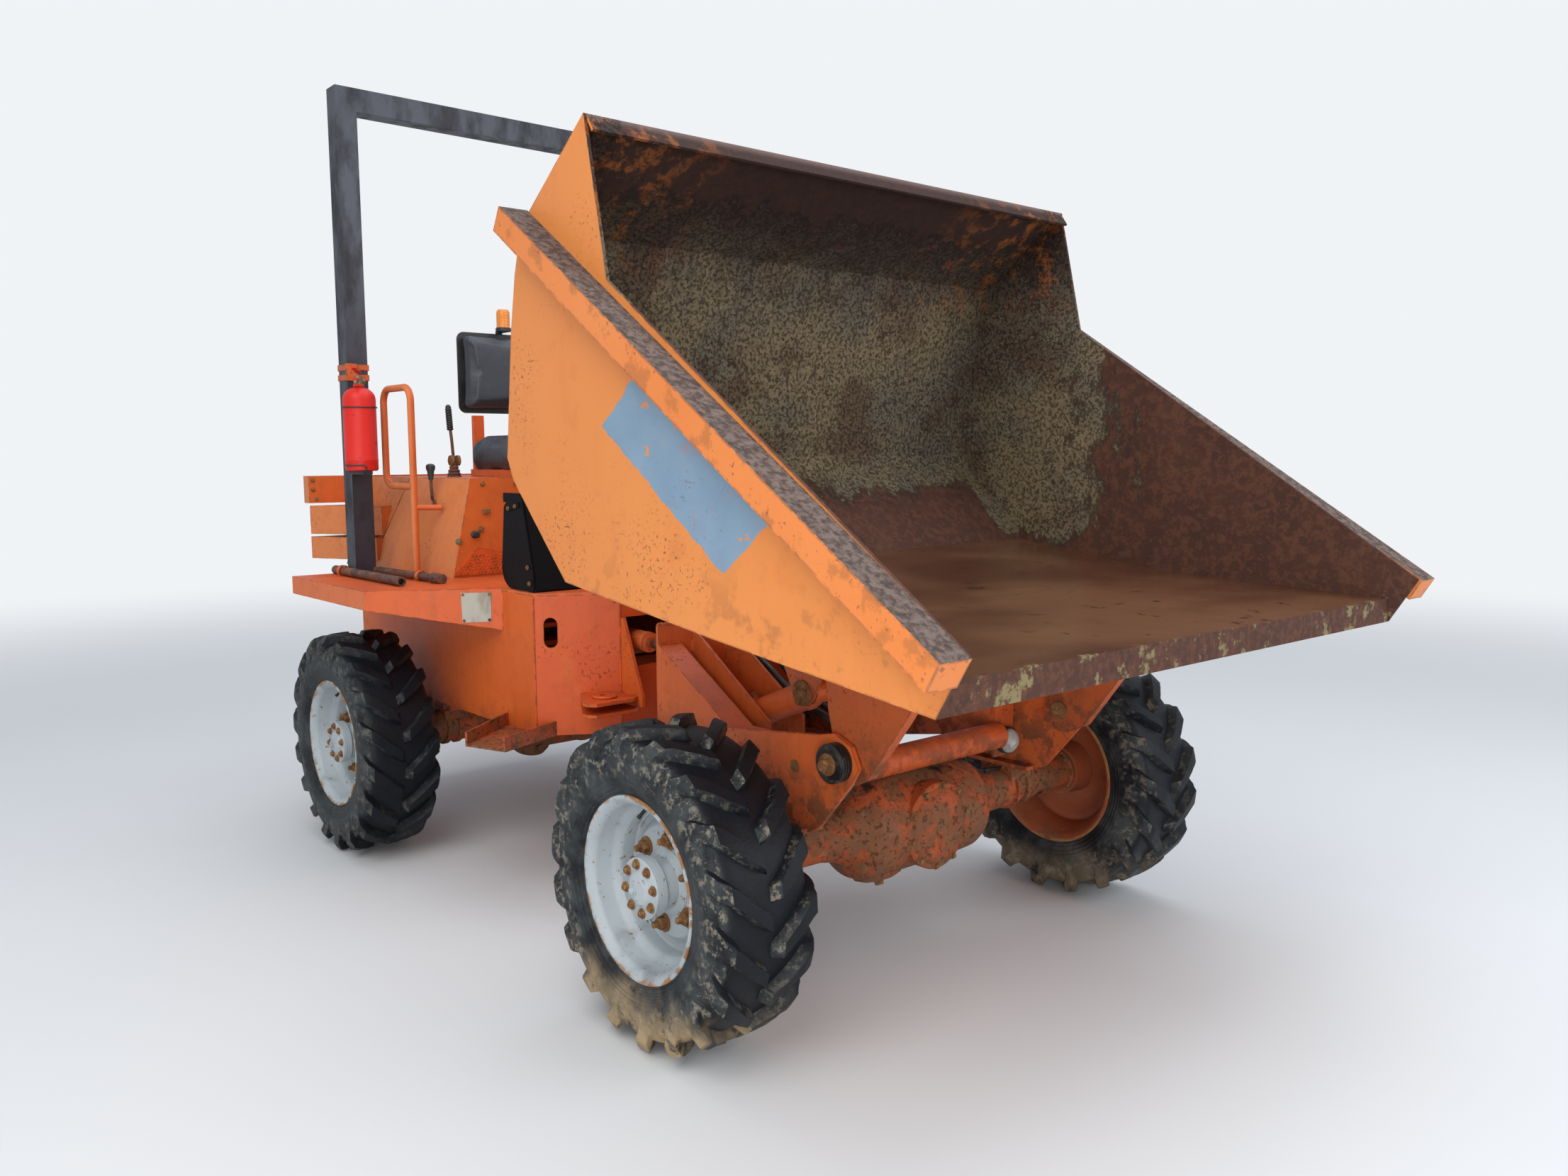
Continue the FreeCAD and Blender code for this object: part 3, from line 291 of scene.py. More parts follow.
def rim_paint(name, fresh, dark, centre):
    """Painted wheel steel with rust along the rim's edge and in small spots."""
    p = Paint(name)
    dx = p.math("SUBTRACT", p.place["x"], centre[0])
    dz = p.math("SUBTRACT", p.place["z"], centre[2])
    radius = p.math("SQRT", p.math("ADD", p.both(dx, dx), p.both(dz, dz)))
    broken = p.noise(20.0, detail=8.0, rough=0.7)
    edge = p.band(p.math("ADD", radius, p.both(broken, 0.034)), 0.222, 0.232)
    spots = p.patches(60.0, 0.63, 0.68, detail=7.0, shift=3.0)
    rust = p.either(p.both(edge, p.patches(30.0, 0.42, 0.52, detail=8.0, shift=6.0)), spots)
    colour = p.mix(p.noise(5.0), fresh, dark)
    colour = p.mix(p.both(p.patches(10.0, 0.5, 0.75, detail=8.0), 0.35), colour, GRIME)
    colour = p.mix(rust, colour, p.mix(p.noise(60.0), (0.20, 0.095, 0.040), (0.36, 0.185, 0.060)))
    p.relief((p.noise(110.0), 0.0005), (rust, 0.0008))
    return p.finish(colour, p.level(rust, 0.42, 0.85), specular=0.35)


def skip_sheet():
    """The skip's sheet: faded orange outside, rust, mortar crust and a wet floor inside."""
    p = Paint("skip_sheet")
    # Inside is where the face looks into the load space.
    towards = p.math("ADD", p.math("MULTIPLY", p.facing["x"], 2.0), p.facing["z"])
    side_sign = p.math("SIGN", p.place["y"])
    towards = p.math("SUBTRACT", towards, p.math("MULTIPLY", p.both(side_sign, p.facing["y"]), 3.0))
    inside = p.math("GREATER_THAN", towards, 0.05)
    x = p.place["x"]
    y = p.place["y"]
    z = p.place["z"]
    fine = p.noise(42.0, detail=9.0, rough=0.72)
    middle = p.noise(7.0, detail=8.0, rough=0.65, shift=2.0)

    # Outside: bleached paint with pits in clusters, and one old blue patch on the right-hand side
    orange = p.mix(p.noise(1.8, detail=4.0), (0.62, 0.195, 0.038), (0.68, 0.250, 0.070))
    orange = p.mix(p.both(p.patches(9.0, 0.5, 0.8, stretch=(1.6, 1.6, 0.4)), 0.22), orange, (0.45, 0.13, 0.04))
    u = p.math("ADD", p.both(p.math("SUBTRACT", x, 0.9965), 0.821), p.both(p.math("SUBTRACT", z, 1.335), -0.570))
    v = p.math("ADD", p.both(p.math("SUBTRACT", x, 0.9965), 0.570), p.both(p.math("SUBTRACT", z, 1.335), 0.821))
    patch = p.rows(p.math("ADD", u, p.both(v, -0.30)), v, (0.0, 0.0), (0.268, 0.088), 0.022)
    patch = p.both(patch, p.band(y, -0.86, -0.872))
    patch = p.both(patch, p.unless(p.patches(19.0, 0.655, 0.67, detail=7.0, shift=17.0)))
    blue = p.mix(p.noise(9.0, detail=8.0), (0.135, 0.225, 0.325), (0.225, 0.325, 0.420))
    orange = p.mix(patch, orange, blue)
    cluster = p.patches(2.6, 0.46, 0.62, detail=6.0, shift=4.0)
    pits = p.both(p.patches(110.0, 0.59, 0.64, detail=7.0, rough=0.65, shift=8.0), cluster)
    pits = p.either(pits, p.both(p.both(p.cells(42.0, 0.11, 0.07), cluster), 0.8))
    scratch = p.patches(30.0, 0.67, 0.70, stretch=(0.5, 1.0, 2.6), detail=5.0, shift=19.0)
    pits = p.either(p.both(pits, 0.75), p.both(scratch, p.both(cluster, 0.7)))
    rim = p.both(p.edges(0.007), p.patches(20.0, 0.42, 0.52, detail=7.0, shift=31.0))
    low_edge = p.both(p.band(z, 1.20, 1.00), p.patches(14.0, 0.52, 0.62, detail=9.0, shift=1.0))
    outer = p.mix(p.both(low_edge, 0.45), orange, RUST_LIGHT)
    outer = p.mix(p.both(p.patches(9.0, 0.56, 0.70, detail=9.0, rough=0.7, shift=51.0), 0.25), outer, (0.50, 0.115, 0.03))
    outer = p.mix(p.either(pits, p.both(rim, 0.8)), outer, p.mix(p.noise(60.0), (0.10, 0.035, 0.018), (0.27, 0.085, 0.03)))

    # Inside: rust, and a rough crust of mortar over most of the back and the rear of the sides
    rust = p.mix(middle, (0.032, 0.013, 0.009), (0.095, 0.036, 0.022))
    rust = p.mix(p.both(p.band(fine, 0.46, 0.58), 0.5), rust, (0.14, 0.052, 0.028))
    on_back = p.both(p.band(z, 1.17, 1.33), p.band(z, 2.16, 1.90))
    on_back = p.both(on_back, p.band(x, 0.62, 0.50))
    on_side = p.both(p.band(x, 1.15, 0.60), p.band(z, 1.02, 1.16))
    on_side = p.both(on_side, p.band(p.math("ABSOLUTE", y), 0.70, 0.84))
    covered = p.either(on_back, on_side)
    ragged = p.noise(11.0, detail=9.0, rough=0.72, stretch=(1.0, 1.0, 0.5), shift=6.0)
    mortar = p.band(p.math("ADD", ragged, p.both(covered, 0.42)), 0.70, 0.78)
    broad = p.band(p.noise(2.6, detail=5.0, shift=40.0), 0.42, 0.58)
    crust = p.mix(broad, (0.128, 0.103, 0.072), (0.185, 0.138, 0.078))
    brownish = p.patches(4.4, 0.48, 0.62, detail=8.0, shift=23.0)
    crust = p.mix(p.both(brownish, 0.72), crust, (0.080, 0.043, 0.024))
    gaps = p.band(p.noise(98.0, detail=8.0, rough=0.75, shift=3.0), 0.50, 0.38)
    crust = p.mix(p.both(gaps, 0.72), crust, (0.040, 0.024, 0.016))
    bare = p.patches(15.0, 0.60, 0.68, detail=9.0, rough=0.74, shift=57.0)
    crust = p.mix(p.both(bare, 0.75), crust, (0.055, 0.026, 0.016))
    crumbs = p.patches(80.0, 0.56, 0.68, detail=7.0, shift=13.0)
    crust = p.mix(p.both(crumbs, 0.55), crust, (0.26, 0.215, 0.135))
    inner = p.mix(mortar, rust, crust)
    top_dark = p.band(p.math("ADD", z, p.both(ragged, 0.4)), 1.96, 2.22)
    inner = p.mix(p.both(top_dark, 0.85), inner, p.mix(fine, (0.014, 0.006, 0.005), (0.040, 0.018, 0.013)))
    near_corner = p.both(p.band(z, 1.74, 2.0), p.band(p.math("ABSOLUTE", y), 0.30, 0.78))
    scraps = p.both(near_corner, p.patches(15.0, 0.50, 0.60, detail=9.0, rough=0.7, shift=9.0))
    inner = p.mix(p.both(scraps, 0.8), inner, p.mix(fine, (0.17, 0.045, 0.012), (0.40, 0.12, 0.02)))
    strip = p.both(p.band(z, 2.10, 2.13), p.band(p.facing["z"], 0.2, 0.5))
    inner = p.mix(strip, inner, p.mix(middle, (0.135, 0.088, 0.080), (0.215, 0.145, 0.130)))

    # The floor lies wet
    floor = p.both(p.band(p.facing["z"], 0.85, 0.97), p.band(z, 1.16, 1.06))
    film = p.patches(1.6, 0.36, 0.62, detail=3.0, stretch=(1.0, 0.6, 1.0), shift=3.0)
    wet_floor = p.mix(film, (0.070, 0.025, 0.013), (0.150, 0.068, 0.034))
    wet_floor = p.mix(p.patches(18.0, 0.62, 0.68, detail=8.0, shift=12.0), wet_floor, (0.045, 0.018, 0.011))
    inner = p.mix(floor, inner, wet_floor)

    # The front lip's face carries yellowish crust
    lip = p.both(p.band(x, 1.695, 1.708), p.patches(16.0, 0.54, 0.60, detail=9.0, rough=0.7, shift=15.0))
    inner = p.mix(p.both(lip, p.band(z, 1.02, 0.99)), inner, (0.20, 0.160, 0.075))

    colour = p.mix(inside, outer, inner)
    outer_rough = p.level(pits, 0.42, 0.8)
    inner_rough = p.level(floor, 0.86, 0.22)
    rough = p.math("ADD", p.both(inside, inner_rough), p.both(p.unless(inside), outer_rough))
    crusty = p.both(inside, p.unless(floor))
    p.relief(
        (p.both(crusty, p.both(mortar, p.unless(gaps))), 0.006),
        (p.both(crusty, fine), 0.004),
        (p.noise(6.0, detail=4.0), 0.004),
        (p.unless(p.both(pits, p.unless(inside))), 0.0006))
    return p.finish(colour, rough, specular=0.35)


def flange_paint():
    p = Paint("flange_paint")
    up = p.band(p.facing["z"], 0.25, 0.6)
    orange = p.mix(p.noise(2.5), (0.62, 0.165, 0.030), (0.68, 0.235, 0.070))
    crumbs = p.noise(60.0, detail=9.0, rough=0.7)
    mortar = p.mix(p.band(crumbs, 0.40, 0.60), (0.060, 0.040, 0.033), (0.165, 0.118, 0.100))
    rim_wear = p.patches(13.0, 0.54, 0.62, detail=9.0, shift=5.0)
    colour = p.mix(p.both(rim_wear, 0.45), orange, RUST_LIGHT)
    chips = p.patches(60.0, 0.62, 0.66, detail=7.0, shift=2.0)
    edge = p.both(p.edges(0.009), p.patches(34.0, 0.40, 0.52, detail=8.0, shift=33.0))
    colour = p.mix(p.either(p.both(chips, 0.7), edge), colour, p.mix(crumbs, (0.09, 0.035, 0.022), (0.26, 0.10, 0.06)))
    covered = p.both(up, p.patches(30.0, 0.24, 0.34, detail=8.0, shift=8.0))
    colour = p.mix(covered, colour, mortar)
    p.relief((p.both(covered, crumbs), 0.005), (p.noise(9.0), 0.002))
    return p.finish(colour, p.level(covered, 0.45, 0.9), specular=0.32)


def vinyl(name="seat_vinyl", tears=()):
    """Seat covering; a tear is a short ragged line, given by x, y and z in millimetres from the front axle."""
    p = Paint(name)
    grain = p.cells(260.0, 0.1, 0.6)
    scuff = p.patches(8.0, 0.55, 0.75, detail=8.0)
    colour = p.mix(p.noise(5.0), (0.022, 0.026, 0.034), (0.040, 0.046, 0.058))
    colour = p.mix(p.both(scuff, 0.4), colour, (0.10, 0.105, 0.11))
    for x, y, z, spread in tears:
        line = p.math("ABSOLUTE", p.math("SUBTRACT", p.place["z"], z / 1000.0))
        line = p.math("ADD", line, p.both(p.math("SUBTRACT", p.noise(30.0, shift=2.0), 0.5), 0.02))
        near = p.both(p.band(line, 0.0035, 0.0015), p.patches(7.0, 0.50, 0.56, shift=6.0))
        near = p.both(near, p.band(p.place["x"], (x + FRONT_AXLE_X) / 1000.0 - 0.03, (x + FRONT_AXLE_X) / 1000.0 - 0.02))
        colour = p.mix(near, colour, (0.30, 0.27, 0.22))
    p.relief((grain, 0.0004), (p.noise(14.0, detail=5.0), 0.002))
    return p.finish(colour, p.level(scuff, 0.40, 0.62))


def rubber_sheet():
    p = Paint("flap_rubber")
    spots = p.patches(46.0, 0.68, 0.72)
    p.relief((p.noise(70.0), 0.0006), (p.noise(5.0), 0.003))
    return p.finish(p.mix(spots, (0.004, 0.004, 0.005), (0.06, 0.056, 0.05)), p.level(spots, 0.55, 0.85), specular=0.12)


def greasy_rubber():
    p = Paint("greasy_rubber")
    dust = p.patches(24.0, 0.50, 0.66, detail=9.0, rough=0.7)
    rust = p.patches(36.0, 0.62, 0.68, detail=7.0, shift=4.0)
    colour = p.mix(dust, (0.009, 0.009, 0.010), (0.050, 0.042, 0.034))
    colour = p.mix(rust, colour, (0.16, 0.07, 0.03))
    p.relief((p.noise(80.0, detail=8.0), 0.0016), (rust, 0.0008))
    return p.finish(colour, p.level(dust, 0.36, 0.8))


def lamp_glass():
    p = Paint("lamp_lens")
    dusty = p.patches(18.0, 0.5, 0.7, detail=8.0)
    p.relief((p.noise(60.0), 0.0008), (p.cells(90.0, 0.1, 0.5), 0.0008))
    p.shader.inputs["Transmission Weight"].default_value = 0.15
    return p.finish(p.mix(dusty, (0.40, 0.40, 0.38), (0.20, 0.185, 0.155)), p.level(dusty, 0.28, 0.6), specular=0.3)


def amber_lens():
    p = Paint("amber_lens")
    ribs = p.patches(40.0, 0.4, 0.6, stretch=(0.2, 0.2, 3.0))
    p.relief((ribs, 0.0008), (p.noise(60.0), 0.0003))
    return p.finish(p.mix(p.noise(8.0), (0.75, 0.20, 0.012), (0.82, 0.28, 0.03)), p.level(ribs, 0.18, 0.28), coat=0.4)


# The second colour of each is the side tone: partly real fading, partly painted sky reflection on side faces.
ORANGE = worn_paint("body_orange", (0.56, 0.068, 0.010), (0.60, 0.115, 0.020), wear=0.35, low=0.52)
ORANGE_WING = worn_paint("wing_orange", (0.58, 0.080, 0.012), (0.62, 0.150, 0.038), wear=0.45, grime=0.45)
ORANGE_FRONT = worn_paint("front_orange", (0.60, 0.100, 0.018), (0.62, 0.130, 0.030), wear=0.6, grime=0.8, low=0.64)
ORANGE_HOOD = worn_paint("hood_orange", (0.56, 0.088, 0.012), (0.60, 0.205, 0.070), wear=0.45)
BRACKET = worn_paint("bracket_orange", (0.52, 0.090, 0.018), (0.46, 0.105, 0.030), wear=1.0, grime=1.1, low=0.74)
DARK_POST = plain_steel("post_steel", (0.045, 0.048, 0.062), (0.022, 0.022, 0.027), rough=0.34, metal=0.35)
DARK_DIRTY = rusty("dirty_steel", (0.05, 0.045, 0.045), bare=(0.03, 0.02, 0.015), share=0.5)
CASTING = rusty("axle_casting", (0.42, 0.085, 0.022), bare=(0.10, 0.045, 0.026), share=0.62, rough=0.72)
STEP = rusty("step_steel", (0.42, 0.085, 0.03), bare=(0.13, 0.048, 0.02), share=0.5, rough=0.5)
PIN = rusty("pin_steel", (0.10, 0.085, 0.075), bare=(0.085, 0.04, 0.022), share=0.55, rough=0.45)
RUSTY_BAR = rusty("rusty_bar", (0.11, 0.055, 0.045), bare=(0.06, 0.028, 0.022), share=0.45, rough=0.5)
CHROME = plain_steel("ram_chrome", (0.62, 0.62, 0.63), (0.38, 0.36, 0.34), rough=0.14, metal=1.0)
BOLT_STEEL = rusty("bolt_steel", (0.33, 0.17, 0.06), bare=(0.15, 0.075, 0.03), share=0.5, rough=0.75, scale=40.0)
BLACK_PLASTIC = plain_steel("black_plastic", (0.014, 0.014, 0.015), (0.03, 0.03, 0.031), rough=0.38, metal=0.0)
RED = tank_red()
VINYL = vinyl()
FLAP = rubber_sheet()
GREASY = greasy_rubber()
PIPE = plain_steel("pipe_black", (0.012, 0.012, 0.013), (0.035, 0.033, 0.030), rough=0.42, metal=0.0)
BRASS = plain_steel("valve_brass", (0.36, 0.30, 0.18), (0.20, 0.16, 0.10), rough=0.35, metal=0.9)
LABEL = plain_steel("plain_label", (0.62, 0.61, 0.58), (0.48, 0.46, 0.42), rough=0.5, metal=0.0)
PLATE = plain_steel("bare_plate", (0.36, 0.35, 0.30), (0.20, 0.17, 0.12), rough=0.5, metal=0.3)
GLASS = lamp_glass()
AMBER = amber_lens()
SKIP = skip_sheet()
FLANGE = flange_paint()

LOOKS = [
    # node, material
    ("front_axle", CASTING), ("rear_axle", CASTING),
    ("front_chassis", ORANGE_FRONT), ("front_ram_pins", PIN), ("skip_pivot_pins", PIN),
    ("headlamps", GLASS), ("skip_shell", SKIP), ("skip_rim_flanges", FLANGE), ("skip_brackets", BRACKET),
    ("tip_ram_top_pins", PIN), ("tip_ram_base_pins", PIN), ("tip_ram_barrels", ORANGE_FRONT),
    ("tip_ram_rods", CHROME), ("rear_frame", ORANGE), ("rear_frame_pins", PIN),
    ("steer_ram_barrel", ORANGE_FRONT), ("steer_ram_rod", CHROME), ("fenders", ORANGE_WING), ("deck_plate", ORANGE_WING),
    ("engine_block", DARK_DIRTY), ("roll_bar", DARK_POST), ("seat_box", ORANGE_HOOD),
    ("engine_hood", ORANGE_HOOD), ("rear_light_bar", ORANGE_HOOD), ("counterweight", ORANGE),
    ("seat_frame", ORANGE), ("seat_cushion", VINYL), ("seat_backrest", VINYL), ("dash_panel", FLAP),
    ("steering_column", DARK_DIRTY), ("steering_wheel", BLACK_PLASTIC), ("rubber_flaps", FLAP),
    ("footsteps", STEP), ("grab_rails", ORANGE_HOOD), ("fire_extinguisher", RED), ("lock_bar", RUSTY_BAR),
    ("hand_levers", BLACK_PLASTIC),
]
for node, material in LOOKS:
    mesh = nodes[node].data
    mesh.materials.clear()
    mesh.materials.append(material)


# Mesh helpers

def piece(name, verts, faces, body, material, slot, smooth=False, bevel=0.0):
    mesh = bpy.data.meshes.new(name)
    mesh.from_pydata([tuple(v) for v in verts], [], faces)
    mesh.validate()
    obj = bpy.data.objects.new(name, mesh)
    bpy.context.scene.collection.objects.link(obj)
    mesh.materials.append(material)
    if smooth:
        mesh.polygons.foreach_set("use_smooth", [True] * len(mesh.polygons))
        mesh.set_sharp_from_angle(angle=math.radians(float(smooth) if smooth is not True else 42.0))
    if bevel:
        modifier = obj.modifiers.new("soft_edges", "BEVEL")
        modifier.width = bevel
        modifier.segments = 2
        modifier.limit_method = "ANGLE"
    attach(obj, body)
    return obj


def basis(direction):
    """Two directions square to a direction and to each other."""
    d = Vector(direction).normalized()
    helper = Vector((0, 0, 1)) if abs(d.z) < 0.9 else Vector((1, 0, 0))
    u = d.cross(helper).normalized()
    return u, d.cross(u).normalized(), d


def lathe(profile, centre, direction, segments, start=0.0):
    """Vertices and faces of a profile of (along, radius) in metres turned about an axis."""
    u, v, d = basis(direction)
    verts = []
    for i in range(segments):
        a = start + 2.0 * math.pi * i / segments
        ring = u * math.cos(a) + v * math.sin(a)
        verts += [Vector(centre) + d * along + ring * radius for along, radius in profile]
    n = len(profile)
    faces = []
    for i in range(segments):
        j = (i + 1) % segments
        faces += [(i * n + k, i * n + k + 1, j * n + k + 1, j * n + k) for k in range(n - 1)]
    return verts, faces


def joined(parts):
    """Several (vertices, faces) as one."""
    verts, faces = [], []
    for more_verts, more_faces in parts:
        first = len(verts)
        verts += list(more_verts)
        faces += [tuple(first + i for i in face) for face in more_faces]
    return verts, faces


def hex_bolt(centre, direction, radius, height):
    """A hexagon head with a chamfer, on its washer."""
    washer = lathe([(0.0, 0.0), (0.0, radius * 1.45), (0.003, radius * 1.45), (0.003, 0.0)], centre, direction, 20)
    head = lathe([
        (0.003, 0.0), (0.003, radius), (height * 0.85, radius), (height, radius * 0.86),
        (height, 0.0)], centre, direction, 6)
    return joined([washer, head])


def sweep(points, radius, sides=12):
    """A round tube along points, closed at both ends; radius may be one value or one for each point."""
    points = [Vector(q) for q in points]
    radii = list(radius) if hasattr(radius, "__len__") else [radius] * len(points)
    along = [(points[min(i + 1, len(points) - 1)] - points[max(i - 1, 0)]).normalized() for i in range(len(points))]
    u, v, d = basis(along[0])
    verts = []
    for i, point in enumerate(points):
        u = (u - along[i] * u.dot(along[i])).normalized()
        v = along[i].cross(u)
        for k in range(sides):
            a = 2.0 * math.pi * k / sides
            verts.append(point + (u * math.cos(a) + v * math.sin(a)) * radii[i])
    faces = []
    for i in range(len(points) - 1):
        for k in range(sides):
            m = (k + 1) % sides
            faces.append((i * sides + k, i * sides + m, (i + 1) * sides + m, (i + 1) * sides + k))
    last = (len(points) - 1) * sides
    faces.append(tuple(reversed(range(sides))))
    faces.append(tuple(last + k for k in range(sides)))
    return verts, faces


def bent(corners, bend, steps=8):
    """Corners of a bent bar, each replaced by an arc."""
    corners = [Vector(q) for q in corners]
    out = [corners[0]]
    for i in range(1, len(corners) - 1):
        back = (corners[i - 1] - corners[i]).normalized()
        ahead = (corners[i + 1] - corners[i]).normalized()
        half = 0.5 * back.angle(ahead)
        centre = corners[i] + (back + ahead).normalized() * (bend / math.sin(half))
        first = corners[i] + back * (bend / math.tan(half)) - centre
        last = corners[i] + ahead * (bend / math.tan(half)) - centre
        for k in range(steps + 1):
            t = k / steps
            out.append(centre + (first * (1.0 - t) + last * t).normalized() * bend)
    out.append(corners[-1])
    return out


def block(low, high):
    """The eight corners and six faces of a box, to be bevelled."""
    x0, y0, z0 = low
    x1, y1, z1 = high
    verts = [Vector(q) for q in (
        (x0, y0, z0), (x1, y0, z0), (x1, y1, z0), (x0, y1, z0), (x0, y0, z1), (x1, y0, z1), (x1, y1, z1), (x0, y1, z1))]
    return verts, [(3, 2, 1, 0), (4, 5, 6, 7), (0, 1, 5, 4), (1, 2, 6, 5), (2, 3, 7, 6), (3, 0, 4, 7)]


def slab(outline, shift):
    """A flat outline pushed along a vector."""
    outline = [Vector(q) for q in outline]
    shift = Vector(shift)
    n = len(outline)
    faces = [tuple(reversed(range(n))), tuple(n + i for i in range(n))]
    faces += [(i, (i + 1) % n, n + (i + 1) % n, n + i) for i in range(n)]
    return outline + [q + shift for q in outline], faces


def weld(start, end, radius):
    """An uneven bead along a straight joint."""
    start, end = Vector(start), Vector(end)
    count = max(int((end - start).length / 0.0045), 4)
    points = [start.lerp(end, i / count) for i in range(count + 1)]
    radii = [radius * (0.85 + 0.22 * math.sin(i * 2.4) + 0.1 * math.sin(i * 0.61)) for i in range(count + 1)]
    return sweep(points, radii, 8)


def rounded_outline(x0, x1, z0, z1, radii, steps=8):
    """Corner points of a rectangle with four corner radii, from low x low z, counter-clockwise."""
    corners = [(x0, z0, 180.0), (x1, z0, 270.0), (x1, z1, 0.0), (x0, z1, 90.0)]
    out = []
    for (cx, cz, begin), r in zip(corners, radii):
        mx = cx + r if cx == x0 else cx - r
        mz = cz + r if cz == z0 else cz - r
        for k in range(steps + 1):
            a = math.radians(begin + 90.0 * k / steps)
            out.append((mx + r * math.cos(a), mz + r * math.sin(a)))
    return out


# Tyres and wheels

TYRE_R = 0.380
TREAD_HALF = 0.121
HALF_TRACK = 0.770
LUGS = 18
WHEELS = [
    # name, x in mm, side, mud
    ("front_right", 0.0, -1.0, 1.0),
    ("front_left", 0.0, 1.0, 0.35),
    ("rear_right", -1886.0, -1.0, 0.0),
    ("rear_left", -1886.0, 1.0, 0.0),
]
CARCASS = [
    # across, radius
    (-0.104, 0.207), (-0.111, 0.222), (-0.121, 0.246), (-0.1265, 0.276), (-0.1245, 0.304), (-0.117, 0.328),
    (-0.100, 0.344), (-0.060, 0.350), (0.0, 0.352), (0.060, 0.350), (0.100, 0.344), (0.117, 0.328),
    (0.1245, 0.304), (0.1265, 0.276), (0.121, 0.246), (0.111, 0.222), (0.104, 0.207),
]
LUG_COLUMNS = [
    # place across a lug in half widths, share of the lug's height
    (-1.42, 0.0), (-1.10, 0.90), (-0.98, 1.0), (0.0, 1.0), (0.98, 1.0), (1.10, 0.90), (1.42, 0.0),
]


def smooth_line(points, steps):
    """Points of a Catmull-Rom line through the given ones."""
    p = np.array([points[0]] + list(points) + [points[-1]], float)
    out = []
    for i in range(1, len(p) - 2):
        for t in np.linspace(0.0, 1.0, steps, endpoint=False):
            a, b, c, d = p[i - 1], p[i], p[i + 1], p[i + 2]
            out.append(0.5 * (2 * b + (c - a) * t + (2 * a - 5 * b + 4 * c - d) * t ** 2
                              + (3 * b - a - 3 * c + d) * t ** 3))
    out.append(p[-2])
    return np.array(out)


def tyre_mesh(name, x, side, mud):
    """Columns of the mesh run along the lugs, so their edges stay crisp."""
    line = smooth_line(CARCASS, 4)
    tangent = np.gradient(line, axis=0)
    tangent /= np.linalg.norm(tangent, axis=1)[:, None]
    outward = np.stack([-tangent[:, 1], tangent[:, 0]], 1)
    rng = np.random.default_rng(7)
    worn = 1.0 - 0.16 * rng.random(LUGS * 2)
    nicks = rng.normal(0.0, 0.0007, (LUGS * 2, len(line)))
    half_pitch = 180.0 / LUGS
    columns = [(m, place, share) for m in range(2 * LUGS) for place, share in LUG_COLUMNS + [(None, 0.0)]]
    verts = np.zeros((len(columns), len(line), 3))
    for k, ((across, radius), normal) in enumerate(zip(line, outward)):
        reach = min(abs(across) / TREAD_HALF, 1.0)
        down = max(0.34 - radius, 0.0) / 0.04
        sweep_angle = 17.0 * reach ** 1.25 + 3.0 * min(down, 1.0)
        width = 2.35 + 1.15 * reach
        start = min(max((abs(across) - 0.001) / 0.006, 0.0), 1.0)
        if radius > 0.343:
            height = TYRE_R - 0.0005 - 0.009 * reach ** 4 - radius
        else:
            height = 0.024 * min(max((radius - 0.292) / 0.051, 0.0), 1.0) ** 1.1
        for c, (m, place, share) in enumerate(columns):
            at_angle = m * half_pitch + (half_pitch / 2.0 if place is None else place * width)
            has_lug = (m % 2 == 0) == (across >= 0.0)
            lift = height * share * start * worn[m] if has_lug else 0.0
            if lift > 0.004:
                lift += nicks[m, k]
            a = math.radians(at_angle + sweep_angle)
            ring = radius + normal[1] * lift
            verts[c, k] = (
                ring * math.cos(a), min(max(across + normal[0] * lift, -0.1278), 0.1278), ring * math.sin(a))
    flat = verts.reshape(-1, 3)
    lowest = flat[:, 2].min()
    flat[:, [0, 2]] *= TYRE_R / -lowest
    flat[:, 1] *= side
    flat = flat + np.array(at(x, side * HALF_TRACK * 1000.0, TYRE_R * 1000.0))
    n = len(line)
    faces = []
    for i in range(len(columns)):
        j = (i + 1) % len(columns)
        for k in range(n - 1):
            quad = (i * n + k, i * n + k + 1, j * n + k + 1, j * n + k)
            faces.append(quad if side < 0 else quad[::-1])
    rubber = tyre_rubber("rubber_" + name, mud, at(x, side * HALF_TRACK * 1000.0, TYRE_R * 1000.0))
    obj = piece("tyre_skin_" + name, flat, faces, "wheel_set_" + name, rubber, "tyre", smooth=27.0)
    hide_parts("tyre_" + name)
    return obj


RIM = [
    # across outwards, radius: the drop-centre rim and the dished disc, seen from outside and inside
    (0.1045, 0.2165), (0.108, 0.2185), (0.1115, 0.217), (0.112, 0.2125), (0.110, 0.208), (0.099, 0.1955),
    (0.090, 0.192), (0.056, 0.190), (0.046, 0.184), (0.038, 0.173), (0.030, 0.1705), (0.001, 0.1700),
    (-0.002, 0.167), (-0.002, 0.152), (0.001, 0.147), (0.016, 0.134), (0.020, 0.128), (0.020, 0.045),
]
RIM_BACK = [
    (0.008, 0.045), (0.008, 0.126), (-0.009, 0.147), (-0.012, 0.160), (-0.0125, 0.1695), (-0.044, 0.1705),
    (-0.060, 0.179), (-0.095, 0.1935), (-0.110, 0.2075), (-0.112, 0.2125), (-0.1115, 0.217), (-0.108, 0.2185),
    (-0.1045, 0.2165),
]
HUB_BACK = [(-0.069, 0.0), (-0.069, 0.074), (0.006, 0.080), (0.0065, 0.046)]
